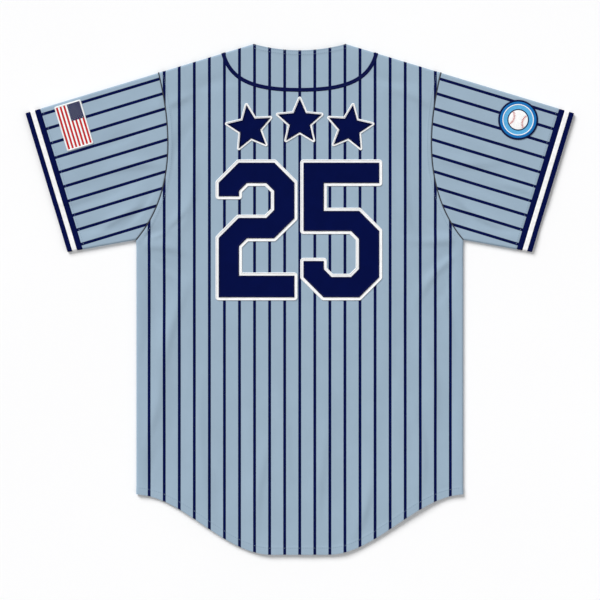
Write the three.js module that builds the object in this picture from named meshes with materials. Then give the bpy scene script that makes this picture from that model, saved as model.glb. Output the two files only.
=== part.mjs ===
// A short-sleeved baseball jersey laid face down, so that its back is up and its buttons are underneath.
// Millimetres, +Z up, +Y towards the neck. The origin is under the middle of the garment, on the surface
// that it lies on. The wearer's left is at -X.
import * as THREE from "three";

// Cloth and seams
const CLOTH = 1.0; // wall of every panel
const TWILL = 0.8; // wall of a sewn-on number, star, braid or badge
const SEAM = 0.3; // gap between two pieces that are sewn together
const UNDERARM_GAP = 1.2; // of a sleeve at the underarm, where four pieces meet
const UNDERARM_GAP_POWER = 12; // keeps that wider gap to the last few millimetres

// Outline of the laid garment, at the middle of the cloth
const HALF_CHEST = 261;
const HEM_SIDE_Y = -312;
const HEM_TAIL_Y = -408.6;
const TAIL_FLAT = 50; // half-width of the level middle of the shirt tail
const TAIL_SLANT = 0.15; // share of the tail's curve that is straight
const UNDERARM_Y = 96;
const NECK_HALF = 73.5;
const NECK_Y = 408.2;
const BACK_NECK_DIP = 10;
const FRONT_NECK_DROP = 96;
const SHOULDER_SLOPE = THREE.MathUtils.degToRad(16.86);
const ARMHOLE_TOP_X = 225.8;
const ARMHOLE_UPPER_PULL = new THREE.Vector2(202.8, 268);
const ARMHOLE_LOWER_PULL = new THREE.Vector2(200.8, 168);
const SLEEVE_TOP = 222.5; // along the top edge, from the armhole to the cuff
const CUFF_WIDTH = 231.5;

// Heights of the two layers, at the middle of the cloth
const FRONT_Z = CLOTH / 2;
const BACK_Z = 5.4;
const FOLD_Z = (FRONT_Z + BACK_Z) / 2;
const FOLD_RADIUS = (BACK_Z - FRONT_Z) / 2;

// Placket and buttons, under the middle of the front
const PLACKET_HALF = 18;
const PLACKET_FLAT = 24; // half-width of the level part over the buttons
const PLACKET_RAMP = 78; // where the front is down on the surface again
const BUTTON = { count: 7, radius: 9, thick: 2.0, firstY: 286, pitch: 94, holeRadius: 1.1, holeOut: 2.6 };
const OUTER_PLACKET_Z = BUTTON.thick + SEAM + CLOTH / 2;
const INNER_PLACKET_Z = OUTER_PLACKET_Z + CLOTH + SEAM;

const SKY = 0x9bb0c2;
const NAVY = 0x030d43;
const WHITE = 0xfafafa;
const BADGE_BLUE = 0x5fb4e5;

// Striped knit band at each sleeve end, from the edge inwards
const CUFF_STRIPES = [
  { name: "edge_navy", width: 7.6, color: NAVY },
  { name: "white", width: 7.4, color: WHITE },
  { name: "inner_navy", width: 8.8, color: NAVY },
];

// Piping that loops round below the back neck, from shoulder to shoulder
const PIPING = { width: 6.3, halfSpan: 122, lowY: 335, endLean: 8, endPull: 46, levelPull: 69, steps: 15 };

// Sewn-on number, stars and sleeve badges. A white layer shows round each navy one.
const DIGIT = { width: 121.2, height: 215.4, stroke: 32.6, foot: 34.7, cut: 32, innerCut: 12.5, gap: 14.4 };
const DIGITS_TOP = { x: -1.3, y: 218.5 }; // between the two numerals
const DIGIT_BORDER = 5;
const STARS = [
  { x: -80, y: 274, turn: 8 },
  { x: 0, y: 284, turn: 0 },
  { x: 80, y: 274, turn: -8 },
];
const STAR = { radius: 37, waist: 0.46, border: 3 }; // the waist is a share of the radius
const ARC_STEP = Math.PI / 8; // at most, round the outer corners of a white layer
const FLAG = { width: 44, length: 74, corner: 1.5, alongSleeve: 154, edgeGap: 4 };
const BADGE = { radius: 32, sides: 36, alongSleeve: 140, edgeGap: 4 };

// Soft troughs in the back layer: middle, half-length, half-width, turn of the long way, and depth
const TROUGHS = [
  { x: -212, y: 20, length: 120, width: 26, turn: 62, depth: 2.1 },
  { x: -176, y: -150, length: 150, width: 30, turn: 84, depth: 1.9 },
  { x: -104, y: -262, length: 118, width: 27, turn: 98, depth: 1.6 },
  { x: 92, y: -214, length: 150, width: 30, turn: 88, depth: 1.7 },
  { x: 176, y: -96, length: 132, width: 27, turn: 101, depth: 2.0 },
  { x: 218, y: 44, length: 96, width: 25, turn: 117, depth: 2.2 },
  { x: 226, y: -226, length: 92, width: 24, turn: 93, depth: 1.5 },
  { x: -226, y: -258, length: 74, width: 24, turn: 79, depth: 1.3 },
  { x: -186, y: 204, length: 92, width: 27, turn: 74, depth: 1.8 },
  { x: 184, y: 186, length: 104, width: 28, turn: 102, depth: 1.9 },
  { x: -164, y: 318, length: 60, width: 22, turn: 28, depth: 1.2 },
  { x: 160, y: 314, length: 64, width: 22, turn: -32, depth: 1.3 },
  { x: -318, y: 176, length: 82, width: 26, turn: 22, depth: 2.0 },
  { x: -352, y: 116, length: 64, width: 20, turn: 14, depth: 1.4 },
  { x: 310, y: 188, length: 76, width: 26, turn: -26, depth: 2.1 },
  { x: 350, y: 128, length: 66, width: 21, turn: -12, depth: 1.5 },
];
// Where something stiff is sewn on, the cloth under it stays level
const LEVEL = [
  { x: 0, y: 110, halfX: 134, halfY: 112 },
  { x: 0, y: 278, halfX: 124, halfY: 46 },
];
const LEVEL_FADE = 34;
const EDGE_FADE = 26;
const PLACKET_CLEAR = 0.8; // share of the free height over the placket that a trough may take

// Fineness of the nets, as shares of a run
const FOLD_STEPS = [0.003, 0.01];
const SIDE_STEPS = 15;
const ARMHOLE_STEPS = 9;
const SLEEVE_STEPS = 9;
const SHOULDER_STEPS = 5;
const BACK_NECK_STEPS = 6;
const FRONT_NECK_TURNS = [12, 24, 40, 58, 76, 90]; // degrees round the front neckline
const HALVINGS = 24; // when a crossing is searched for

const { clamp, degToRad, lerp, smoothstep } = THREE.MathUtils;
const spread = (steps) => Array.from({ length: steps + 1 }, (_, i) => i / steps);

// Corners of the right half of the outline
const shoulderLine = (x) => NECK_Y - Math.tan(SHOULDER_SLOPE) * (Math.abs(x) - NECK_HALF);
const outwards = new THREE.Vector2(Math.cos(SHOULDER_SLOPE), -Math.sin(SHOULDER_SLOPE));
const downwards = new THREE.Vector2(outwards.y, -outwards.x);
const neckPoint = new THREE.Vector2(NECK_HALF, NECK_Y);
const armholeTop = new THREE.Vector2(ARMHOLE_TOP_X, shoulderLine(ARMHOLE_TOP_X));
const underarm = new THREE.Vector2(HALF_CHEST, UNDERARM_Y);
const cuffTop = armholeTop.clone().addScaledVector(outwards, SLEEVE_TOP);
const cuffLow = cuffTop.clone().addScaledVector(downwards, CUFF_WIDTH);
const underSeam = cuffLow.clone().sub(underarm).normalize();
const armhole = new THREE.CubicBezierCurve(armholeTop, ARMHOLE_UPPER_PULL, ARMHOLE_LOWER_PULL, underarm);

function hemY(x) {
  const share = clamp((HALF_CHEST - Math.abs(x)) / (HALF_CHEST - TAIL_FLAT), 0, 1);
  const curve = lerp((1 - Math.cos(Math.PI * share)) / 2, share, TAIL_SLANT);
  return lerp(HEM_SIDE_Y, HEM_TAIL_Y, curve);
}

function backTopY(x) {
  const share = Math.abs(x) / NECK_HALF;
  return share > 1 ? shoulderLine(x) : NECK_Y - BACK_NECK_DIP * (1 - share * share);
}

function frontTopY(x) {
  const share = Math.abs(x) / NECK_HALF;
  return share > 1 ? shoulderLine(x) : NECK_Y - FRONT_NECK_DROP * Math.sqrt(1 - share * share);
}

// Middles of the two sleeve badges, on the back layer just inside the top fold
function badgeMiddle(side, alongSleeve, inset) {
  const middle = armholeTop.clone().addScaledVector(outwards, alongSleeve).addScaledVector(downwards, inset);
  return new THREE.Vector2(side * middle.x, middle.y);
}
const flagMiddle = badgeMiddle(-1, FLAG.alongSleeve, FLAG.edgeGap + FLAG.length / 2);
const badgeCentre = badgeMiddle(1, BADGE.alongSleeve, BADGE.edgeGap + BADGE.radius);

// Folds of the right half: side, underarm, and sleeve top with shoulder. Outside is right of each run.
const BEYOND_CUFF = 2;
const BEYOND_NECK = -0.002;
const FOLDS = [
  [new THREE.Vector2(HALF_CHEST, HEM_TAIL_Y), underarm],
  [underarm, underarm.clone().lerp(cuffLow, BEYOND_CUFF)],
  [neckPoint.clone().lerp(cuffTop, BEYOND_CUFF), neckPoint.clone().lerp(cuffTop, BEYOND_NECK)],
];

// Distance from a place of the plan to the nearest fold, and the way out to it
function nearestFold(x, y) {
  const side = x < 0 ? -1 : 1;
  const place = new THREE.Vector2(Math.abs(x), y);
  let best = { distance: Infinity };
  for (const [from, to] of FOLDS) {
    const run = to.clone().sub(from);
    const share = clamp(place.clone().sub(from).dot(run) / run.lengthSq(), 0, 1);
    const out = from.clone().addScaledVector(run, share).sub(place);
    const distance = out.length();
    if (distance < 1e-4) out.set(run.y, -run.x);
    if (distance < best.distance) best = { distance, out };
  }
  best.out.normalize();
  best.out.x *= side;
  return best;
}

// Height of a front layer's middle, level over the buttons and down on the surface at the sides
function frontHeight(x, plateau) {
  return lerp(plateau, FRONT_Z, smoothstep(Math.abs(x), PLACKET_FLAT, PLACKET_RAMP));
}

// Height of the back layer's middle
function backHeight(x, y, foldDistance) {
  let depth = 0;
  for (const row of TROUGHS) {
    const turn = degToRad(row.turn);
    const along = (x - row.x) * Math.cos(turn) + (y - row.y) * Math.sin(turn);
    const across = (y - row.y) * Math.cos(turn) - (x - row.x) * Math.sin(turn);
    depth += row.depth * Math.exp(-((along / row.length) ** 2) - (across / row.width) ** 2);
  }
  const free = PLACKET_CLEAR * (INNER_PLACKET_Z - frontHeight(x, INNER_PLACKET_Z));
  let share = smoothstep(foldDistance, FOLD_RADIUS, EDGE_FADE);
  for (const zone of LEVEL) {
    const beyondX = Math.max(Math.abs(x - zone.x) - zone.halfX, 0);
    const beyondY = Math.max(Math.abs(y - zone.y) - zone.halfY, 0);
    share *= smoothstep(Math.hypot(beyondX, beyondY), 0, LEVEL_FADE);
  }
  for (const [middle, reach] of [[flagMiddle, FLAG.length / 2], [badgeCentre, BADGE.radius]]) {
    share *= smoothstep(Math.hypot(x - middle.x, y - middle.y), reach, reach + LEVEL_FADE);
  }
  return BACK_Z - Math.min(depth, free) * share;
}

// A point of a layer's mid-surface with its outward normal. At a fold the layer rolls over to FOLD_Z.
function layerPoint(x, y, facing, height, seam = SEAM / 2) {
  const { distance, out } = nearestFold(x, y);
  const cosine = 1 - Math.min(distance / FOLD_RADIUS, 1);
  const sine = Math.sqrt(1 - cosine * cosine);
  const flat = height(x, y, distance);
  return {
    point: new THREE.Vector3(x, y, lerp(FOLD_Z + facing * seam, flat, sine)),
    normal: new THREE.Vector3(out.x * cosine, out.y * cosine, facing * sine).normalize(),
  };
}
const onBack = (x, y) => layerPoint(x, y, 1, backHeight);
const onFold = (x, y) => layerPoint(x, y, 1, backHeight, 0);
const onSleeveFront = (x, y) => layerPoint(x, y, -1, () => FRONT_Z);

// A closed wall of even thickness on a net of points with normals. A ring's rows join end to end.
function wallOn(net, thickness, ring = false) {
  const rows = net.length;
  const columns = net[0].length;
  const steps = ring ? columns : columns - 1;
  const positions = [];
  for (const offset of [thickness / 2, -thickness / 2]) {
    for (const { point, normal } of net.flat()) {
      positions.push(...point.clone().addScaledVector(normal, offset).toArray());
    }
  }
  const index = [];
  const at = (face, i, j) => (face * rows + i) * columns + (j % columns);
  const quad = (a, b, c, d) => index.push(a, b, c, a, c, d);
  for (let i = 0; i < rows - 1; i++) {
    for (let j = 0; j < steps; j++) {
      quad(at(0, i, j), at(0, i, j + 1), at(0, i + 1, j + 1), at(0, i + 1, j));
      quad(at(1, i, j), at(1, i + 1, j), at(1, i + 1, j + 1), at(1, i, j + 1));
    }
  }
  const last = rows - 1;
  for (let j = 0; j < steps; j++) {
    quad(at(0, 0, j), at(1, 0, j), at(1, 0, j + 1), at(0, 0, j + 1));
    quad(at(0, last, j), at(0, last, j + 1), at(1, last, j + 1), at(1, last, j));
  }
  for (let i = 0; !ring && i < last; i++) {
    quad(at(0, i, 0), at(0, i + 1, 0), at(1, i + 1, 0), at(1, i, 0));
    quad(at(0, i, steps), at(1, i, steps), at(1, i + 1, steps), at(0, i + 1, steps));
  }
  const geometry = new THREE.BufferGeometry();
  geometry.setAttribute("position", new THREE.Float32BufferAttribute(positions, 3));
  geometry.setIndex(signedVolume(positions, index) < 0 ? index.reverse() : index);
  geometry.computeVertexNormals();
  return geometry;
}

function signedVolume(positions, index) {
  const corner = (i) => new THREE.Vector3().fromArray(positions, 3 * index[i]);
  let volume = 0;
  for (let i = 0; i < index.length; i += 3) {
    volume += corner(i).dot(corner(i + 1).cross(corner(i + 2)));
  }
  return volume;
}

// Stations down an armhole, close together at both folds, as shares of its curve
const ARMHOLE = [
  0,
  ...FOLD_STEPS,
  ...spread(ARMHOLE_STEPS).slice(1, -1),
  ...FOLD_STEPS.map((step) => 1 - step).reverse(),
  1,
];

// Rows of a body panel from the hem up: the share of the way up, and the half-width there
const sideRows = spread(SIDE_STEPS).slice(0, -1).map((share) => {
  return { y: lerp(HEM_SIDE_Y, UNDERARM_Y, share), half: HALF_CHEST };
});
const armholeRows = ARMHOLE.slice().reverse().map((share) => {
  const place = armhole.getPoint(share);
  return { y: place.y, half: share < 1 ? place.x - SEAM / 2 : place.x };
});
const bodyRows = [...sideRows, ...armholeRows].map(({ y, half }) => {
  return { rise: (y - HEM_SIDE_Y) / (armholeTop.y - HEM_SIDE_Y), half };
});

// Places along a shoulder from the armhole to the neck, close together at the side fold
const shoulderTops = [
  ARMHOLE_TOP_X,
  ...FOLD_STEPS.map((step) => ARMHOLE_TOP_X - step * HALF_CHEST),
  ...spread(SHOULDER_STEPS).slice(1).map((share) => lerp(ARMHOLE_TOP_X, NECK_HALF, share)),
];

function backPanel() {
  const tops = [
    ...shoulderTops.map((x) => -x),
    ...spread(BACK_NECK_STEPS).slice(1, -1).map((share) => lerp(-NECK_HALF, NECK_HALF, share)),
    ...shoulderTops.slice().reverse(),
  ];
  const net = bodyRows.map(({ rise, half }) =>
    tops.map((top) => {
      const across = top / ARMHOLE_TOP_X;
      return onBack(across * half, lerp(hemY(across * HALF_CHEST), backTopY(top), rise));
    }),
  );
  return wallOn(net, CLOTH);
}

// One front, from its side to the far edge of its placket. side is -1 for the wearer's left.
function frontPanel(side, plateau) {
  const neckline = FRONT_NECK_TURNS.map((turn) => NECK_HALF * Math.cos(degToRad(turn)));
  const tops = [...shoulderTops, ...neckline, -PLACKET_HALF];
  const height = (x) => frontHeight(x, plateau);
  const net = bodyRows.map(({ rise, half }) =>
    tops.map((top) => {
      const share = (ARMHOLE_TOP_X - top) / (ARMHOLE_TOP_X + PLACKET_HALF);
      const y = lerp(hemY(lerp(HALF_CHEST, -PLACKET_HALF, share)), frontTopY(top), rise);
      return layerPoint(side * lerp(half, -PLACKET_HALF, share), y, -1, height);
    }),
  );
  return wallOn(net, CLOTH);
}

// A ring round the sleeve through the places of a line from the top fold to the underarm fold
function sleeveRing(side, placeAt) {
  const over = ARMHOLE.map((share) => placeAt(share));
  const last = over.length - 1;
  const back = over.map(({ x, y }, i) => (i % last ? onBack(side * x, y) : onFold(side * x, y)));
  const front = over.slice(1, -1).reverse().map(({ x, y }) => onSleeveFront(side * x, y));
  return [...back, ...front];
}

// A line across the sleeve, parallel to the cuff and so far in from it
function cuffLine(inset) {
  const top = cuffTop.clone().addScaledVector(outwards, -inset);
  const low = cuffLow.clone().addScaledVector(underSeam, -inset / underSeam.dot(outwards));
  return (share) => top.clone().lerp(low, share);
}

const bandWidth = CUFF_STRIPES.reduce((sum, stripe) => sum + stripe.width + SEAM, 0);

function sleeve(side) {
  const end = cuffLine(bandWidth);
  const start = (share) => {
    const gap = lerp(SEAM / 2, UNDERARM_GAP, share ** UNDERARM_GAP_POWER);
    const away = outwards.clone().lerp(underSeam, share);
    return armhole.getPoint(share).addScaledVector(away, gap);
  };
  const rings = spread(SLEEVE_STEPS).map((along) =>
    sleeveRing(side, (share) => start(share).lerp(end(share), along)),
  );
  return wallOn(rings, CLOTH, true);
}

function cuffStripe(side, inset, width) {
  const lines = [cuffLine(inset + width), cuffLine(inset)];
  return wallOn(lines.map((line) => sleeveRing(side, line)), CLOTH, true);
}

// Where a line of the plan that starts outside the shoulder fold crosses it, as a share of the line
function shoulderCrossing(placeAt) {
  let [outside, inside] = [0, 0.5];
  for (let i = 0; i < HALVINGS; i++) {
    const middle = (outside + inside) / 2;
    const { x, y } = placeAt(middle);
    if (y > shoulderLine(x)) outside = middle;
    else inside = middle;
  }
  return inside;
}

function piping() {
  const shoulder = new THREE.Vector2(PIPING.halfSpan, shoulderLine(PIPING.halfSpan));
  const loop = new THREE.CubicBezierCurve(
    shoulder.clone().addScaledVector(downwards, -PIPING.width),
    new THREE.Vector2(shoulder.x - PIPING.endLean, shoulder.y - PIPING.endPull),
    new THREE.Vector2(PIPING.levelPull, PIPING.lowY),
    new THREE.Vector2(0, PIPING.lowY),
  );
  const edges = [-1, 1].map((hand) => (share) => {
    const tangent = loop.getTangent(share);
    const across = new THREE.Vector2(-tangent.y, tangent.x);
    return loop.getPoint(share).addScaledVector(across, (hand * PIPING.width) / 2);
  });
  const starts = edges.map(shoulderCrossing);
  const shares = [0, ...FOLD_STEPS, ...spread(PIPING.steps).slice(1)];
  const half = shares.map((share) => edges.map((edge, k) => edge(lerp(starts[k], 1, share))));
  const raise = ({ x, y }) => {
    const { point, normal } = onBack(x, y);
    return { point: point.addScaledVector(normal, (CLOTH + TWILL) / 2 + SEAM), normal };
  };
  const left = half.map((pair) => pair.map(({ x, y }) => raise({ x: -x, y })));
  const right = half.slice(0, -1).reverse().map((pair) => pair.map(raise));
  return wallOn([...left, ...right], TWILL);
}

// Block numerals on a box of DIGIT's sizes, from the bottom left corner
function numeralTwo() {
  const { width: w, height: h, stroke: s, foot, cut, innerCut: c } = DIGIT;
  const [floor, waist, bowl, hook] = [0.38 * h, 0.438 * h, 0.59 * h, 0.75 * h];
  return [
    [0, 0], [w, 0], [w, foot], [s, foot], [s, floor], [s + c, waist], [w - s, waist], [w, waist + cut],
    [w, h - cut], [w - cut, h], [cut, h], [0, h - cut], [0, hook], [s, hook], [s, h - s - c],
    [s + c, h - s], [w - s - c, h - s], [w - s, h - s - c], [w - s, bowl + c], [w - s - c, bowl],
    [cut, bowl], [0, bowl - cut],
  ];
}

function numeralFive() {
  const { width: w, height: h, stroke: s, cut, innerCut: c } = DIGIT;
  const [under, over, hook] = [0.492 * h, 0.642 * h, 0.27 * h];
  return [
    [cut, 0], [w - cut, 0], [w, cut], [w, over - cut], [w - cut, over], [s, over], [s, h - s],
    [w, h - s], [w, h], [0, h], [0, under], [w - s - c, under], [w - s, under - c], [w - s, s + c],
    [w - s - c, s], [s + c, s], [s, s + c], [s, hook], [0, hook], [0, cut],
  ];
}

function starCorners() {
  return Array.from({ length: 10 }, (_, i) => {
    const reach = i % 2 ? STAR.radius * STAR.waist : STAR.radius;
    const angle = Math.PI * (0.5 + i / 5);
    return [reach * Math.cos(angle), reach * Math.sin(angle)];
  });
}

// An anticlockwise outline moved out by the border, with arcs round its outer corners
function widened(corners, border) {
  const places = corners.map(([x, y]) => new THREE.Vector2(x, y));
  return places.flatMap((place, i) => {
    const before = place.clone().sub(places.at(i - 1)).normalize();
    const after = places[(i + 1) % places.length].clone().sub(place).normalize();
    const bend = Math.atan2(before.cross(after), before.dot(after));
    if (bend < 0) {
      const out = new THREE.Vector2(before.y + after.y, -before.x - after.x);
      return [place.clone().addScaledVector(out, border / (1 + before.dot(after))).toArray()];
    }
    const steps = Math.ceil(bend / ARC_STEP);
    return spread(steps).map((share) => {
      const angle = Math.atan2(-before.x, before.y) + share * bend;
      return [place.x + border * Math.cos(angle), place.y + border * Math.sin(angle)];
    });
  });
}

function plate(corners, thickness) {
  const shape = new THREE.Shape(corners.map(([x, y]) => new THREE.Vector2(x, y)));
  return new THREE.ExtrudeGeometry(shape, { depth: thickness, bevelEnabled: false });
}

function flagPatch() {
  const { width, length, corner } = FLAG;
  const [x, y] = [width / 2, length / 2];
  return plate(
    [
      [x - corner, -y], [x, corner - y], [x, y - corner], [x - corner, y],
      [corner - x, y], [-x, y - corner], [-x, corner - y], [corner - x, -y],
    ],
    TWILL,
  );
}

function button() {
  const shape = new THREE.Shape().absarc(0, 0, BUTTON.radius, 0, 2 * Math.PI);
  for (const turn of [0.25, 0.75, 1.25, 1.75]) {
    const [x, y] = [BUTTON.holeOut * Math.cos(turn * Math.PI), BUTTON.holeOut * Math.sin(turn * Math.PI)];
    shape.holes.push(new THREE.Path().absarc(x, y, BUTTON.holeRadius, 0, 2 * Math.PI));
  }
  return new THREE.ExtrudeGeometry(shape, { depth: BUTTON.thick, bevelEnabled: false, curveSegments: 8 });
}

const jersey = new THREE.Group();
function add(name, geometry, color, roughness = 0.85) {
  const mesh = new THREE.Mesh(geometry, new THREE.MeshStandardMaterial({ color, roughness, metalness: 0 }));
  mesh.name = name;
  jersey.add(mesh);
  return mesh;
}

add("back", backPanel(), SKY);
add("front_left", frontPanel(-1, OUTER_PLACKET_Z), SKY);
add("front_right", frontPanel(1, INNER_PLACKET_Z), SKY);
for (const [hand, side] of [["left", -1], ["right", 1]]) {
  add(`sleeve_${hand}`, sleeve(side), SKY);
  let inset = 0;
  for (const { name, width, color } of CUFF_STRIPES) {
    add(`cuff_${hand}_${name}`, cuffStripe(side, inset, width), color);
    inset += width + SEAM;
  }
}
add("neck_piping", piping(), NAVY);

// Two layers of twill on the level part of the back, white below and navy above
const LOWER_TWILL_Z = BACK_Z + CLOTH / 2 + SEAM;
const UPPER_TWILL_Z = LOWER_TWILL_Z + TWILL + SEAM;
function addTwill(name, corners, border, x, y, turn = 0) {
  for (const [layer, outline, z, color] of [
    ["white", widened(corners, border), LOWER_TWILL_Z, WHITE],
    ["navy", corners, UPPER_TWILL_Z, NAVY],
  ]) {
    const piece = add(`${name}_${layer}`, plate(outline, TWILL), color, 0.6);
    piece.position.set(x, y, z);
    piece.rotation.z = degToRad(turn);
  }
}
const numeralY = DIGITS_TOP.y - DIGIT.height;
for (const [name, corners, x] of [
  ["numeral_2", numeralTwo(), DIGITS_TOP.x - DIGIT.gap / 2 - DIGIT.width],
  ["numeral_5", numeralFive(), DIGITS_TOP.x + DIGIT.gap / 2],
]) {
  addTwill(name, corners, DIGIT_BORDER, x, numeralY);
}
STARS.forEach(({ x, y, turn }, i) => {
  addTwill(`star_${i + 1}`, starCorners(), STAR.border, x, y, turn);
});

const flag = add("flag_patch", flagPatch(), WHITE, 0.6);
flag.position.set(flagMiddle.x, flagMiddle.y, LOWER_TWILL_Z);
flag.rotation.z = SHOULDER_SLOPE;
const disc = new THREE.CylinderGeometry(BADGE.radius, BADGE.radius, TWILL, BADGE.sides);
const badge = add("sleeve_badge", disc, BADGE_BLUE, 0.6);
badge.position.set(badgeCentre.x, badgeCentre.y, LOWER_TWILL_Z + TWILL / 2);
badge.rotation.x = Math.PI / 2;

for (let i = 0; i < BUTTON.count; i++) {
  add(`button_${i + 1}`, button(), NAVY, 0.35).position.set(0, BUTTON.firstY - i * BUTTON.pitch, 0);
}

export default jersey;
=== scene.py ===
"""A baseball jersey laid face down: its cloth, knit bands, braid, twill, embroidery, thread and buttons.

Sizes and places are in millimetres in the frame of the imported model. A mesh is made in metres.
"""

import math

import bmesh
import bpy
import numpy as np
from mathutils.geometry import delaunay_2d_cdt
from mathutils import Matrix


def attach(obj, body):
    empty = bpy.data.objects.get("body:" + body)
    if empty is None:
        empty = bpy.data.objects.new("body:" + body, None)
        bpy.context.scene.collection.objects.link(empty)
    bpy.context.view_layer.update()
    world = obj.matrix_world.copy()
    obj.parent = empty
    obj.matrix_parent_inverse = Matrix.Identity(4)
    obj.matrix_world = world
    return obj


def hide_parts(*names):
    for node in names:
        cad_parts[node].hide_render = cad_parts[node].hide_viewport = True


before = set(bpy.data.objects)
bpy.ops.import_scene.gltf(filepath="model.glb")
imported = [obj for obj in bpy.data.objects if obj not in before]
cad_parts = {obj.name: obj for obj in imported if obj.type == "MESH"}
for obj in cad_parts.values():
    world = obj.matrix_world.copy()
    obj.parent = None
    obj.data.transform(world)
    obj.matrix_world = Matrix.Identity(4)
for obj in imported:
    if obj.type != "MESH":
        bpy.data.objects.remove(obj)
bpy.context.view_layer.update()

MM = 0.001

# Cloth and seams
CLOTH = 1.0
SEAM = 0.3
UNDERARM_GAP = 1.2
UNDERARM_GAP_POWER = 12

# Outline of the laid garment, at the middle of the cloth
HALF_CHEST = 261.0
HEM_SIDE_Y = -312.0
HEM_TAIL_Y = -408.6
TAIL_FLAT = 50.0
TAIL_SLANT = 0.15
UNDERARM_Y = 96.0
NECK_HALF = 73.5
NECK_Y = 408.2
BACK_NECK_DIP = 10.0
FRONT_NECK_DROP = 96.0
SLOPE = math.radians(16.86)
ARMHOLE_TOP_X = 225.8
SLEEVE_TOP = 222.5
CUFF_WIDTH = 231.5

# Heights of the two layers and of the placket, at the middle of the cloth
FRONT_Z = CLOTH / 2
BACK_Z = 5.4
FOLD_Z = (FRONT_Z + BACK_Z) / 2
FOLD_RADIUS = (BACK_Z - FRONT_Z) / 2
PLACKET_HALF = 18.0
PLACKET_FLAT = 24.0
PLACKET_RAMP = 78.0
BUTTON_THICK = 2.0
BUTTON_YS = [286.0 - 94.0 * i for i in range(7)]
OUTER_PLACKET_Z = BUTTON_THICK + SEAM + CLOTH / 2
INNER_PLACKET_Z = OUTER_PLACKET_Z + CLOTH + SEAM

# Sewn-on pieces
CUFF_STRIPES = [("edge_navy", 7.6, "navy"), ("white", 7.4, "white"), ("inner_navy", 8.8, "navy")]
BAND_WIDTH = sum(width + SEAM for _, width, _ in CUFF_STRIPES)
RIB_PITCH = 2.3
RIB_SAMPLES = 4
RIB_HEIGHT = 0.13
BAND_CROWN = 0.32
PIPING = {"width": 6.3, "half": 122.0, "low": 335.0, "lean": 8.0, "pull": 46.0, "level": 69.0}
DIGIT = {"w": 121.2, "h": 215.4, "stroke": 32.6, "foot": 34.7, "cut": 32.0, "inner": 12.5, "gap": 14.4}
DIGITS_TOP = (-1.3, 218.5)  # between the two numerals
DIGIT_BORDER = 5.0
STARS = [(-80.0, 274.0, 8.0), (0.0, 284.0, 0.0), (80.0, 274.0, -8.0)]
STAR_RADIUS = 37.0
STAR_WAIST = 0.46
STAR_BORDER = 3.0
FLAG = {"w": 44.0, "l": 74.0, "corner": 2.3, "along": 154.0, "gap": 4.0, "canton": 27.0}
BADGE = {"radius": 32.0, "along": 140.0, "gap": 4.0}
BALL_RADIUS = 15.7
# Satin rings of the badge: radius, width, height above the field, finish and ridge
BADGE_RINGS = [(29.2, 4.2, 0.3, 2, 0.11), (25.1, 1.5, 0.45, 3, 0.08), (17.2, 1.7, 0.5, 1, 0.08)]
# Outline of half a button across its rim: distance from its middle, and height
BUTTON_PROFILE = [
    (9.0, 1.45), (8.9, 1.8), (8.5, 2.0), (6.2, 2.0), (5.9, 2.0), (6.2, 0.62), (6.9, 0.16), (7.6, 0.0),
    (8.3, 0.06), (8.8, 0.4), (9.0, 0.85),
]  # fmt: skip
BUTTON_HOLE = 1.1
BUTTON_HOLE_OUT = 2.6  # from the middle of the button
BUTTON_PLATE = {"radius": 6.4, "low": 0.72, "high": 1.95}
SLIT = {"w": 3.6, "l": 22.5, "corner": 1.7, "edge": 1.5, "high": -2.02}  # of a buttonhole

# Pinstripes
STRIPE_PITCH = 24.1
STRIPE_WIDTH = 4.7
SLEEVE_FIRST_STRIPE = 9.5  # from the top fold of a sleeve

# Thread and seams as sewn
SEAM_DIP = 0.85  # of the cloth into an armhole seam
SEAM_CORD = {"radius": 1.15, "twist_pitch": 2.6}
HEM_DEPTH = 12.0
HEM_STITCHES = HEM_DEPTH - 1.6
NECK_HEM = 6.5
ALLOWANCE = 6.5  # seam allowance pressed towards the body at an armhole
TURNED = 0.35  # how much a turned hem or an allowance lifts the cloth
STITCH = {"length": 2.5, "pitch": 3.4, "width": 0.62, "height": 0.3}
SATIN_PITCH = 0.9  # of the threads round a twill edge

# Colours, as they look in daylight
SKY = (155, 176, 194)
INSIDE = (186, 200, 212)
NAVY = (3, 13, 67)
WHITE = (250, 250, 250)
RED = (192, 2, 8)
THREAD = (128, 148, 168)
SLATE = (62, 64, 70)
CANTON = (6, 16, 74)
BUTTON_NAVY = (22, 32, 84)
BADGE_BLUE = (96, 178, 228)
BADGE_DEEP_BLUE = (24, 112, 182)
FLOOR = (252.177, 252.177, 252.745)

# Soft troughs in the back layer: middle, half-length, half-width, turn of the long way, and depth
TROUGHS = [
    (-212, 20, 120, 26, 62, 2.1),
    (-176, -150, 150, 30, 84, 1.9),
    (-104, -262, 118, 27, 98, 1.6),
    (92, -214, 150, 30, 88, 1.7),
    (176, -96, 132, 27, 101, 2.0),
    (218, 44, 96, 25, 117, 2.2),
    (226, -226, 92, 24, 93, 1.5),
    (-226, -258, 74, 24, 79, 1.3),
    (-186, 204, 92, 27, 74, 1.8),
    (184, 186, 104, 28, 102, 1.9),
    (-164, 318, 60, 22, 28, 1.2),
    (160, 314, 64, 22, -32, 1.3),
    (-318, 176, 82, 26, 22, 2.0),
    (-352, 116, 64, 20, 14, 1.4),
    (310, 188, 76, 26, -26, 2.1),
    (350, 128, 66, 21, -12, 1.5),
]
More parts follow.
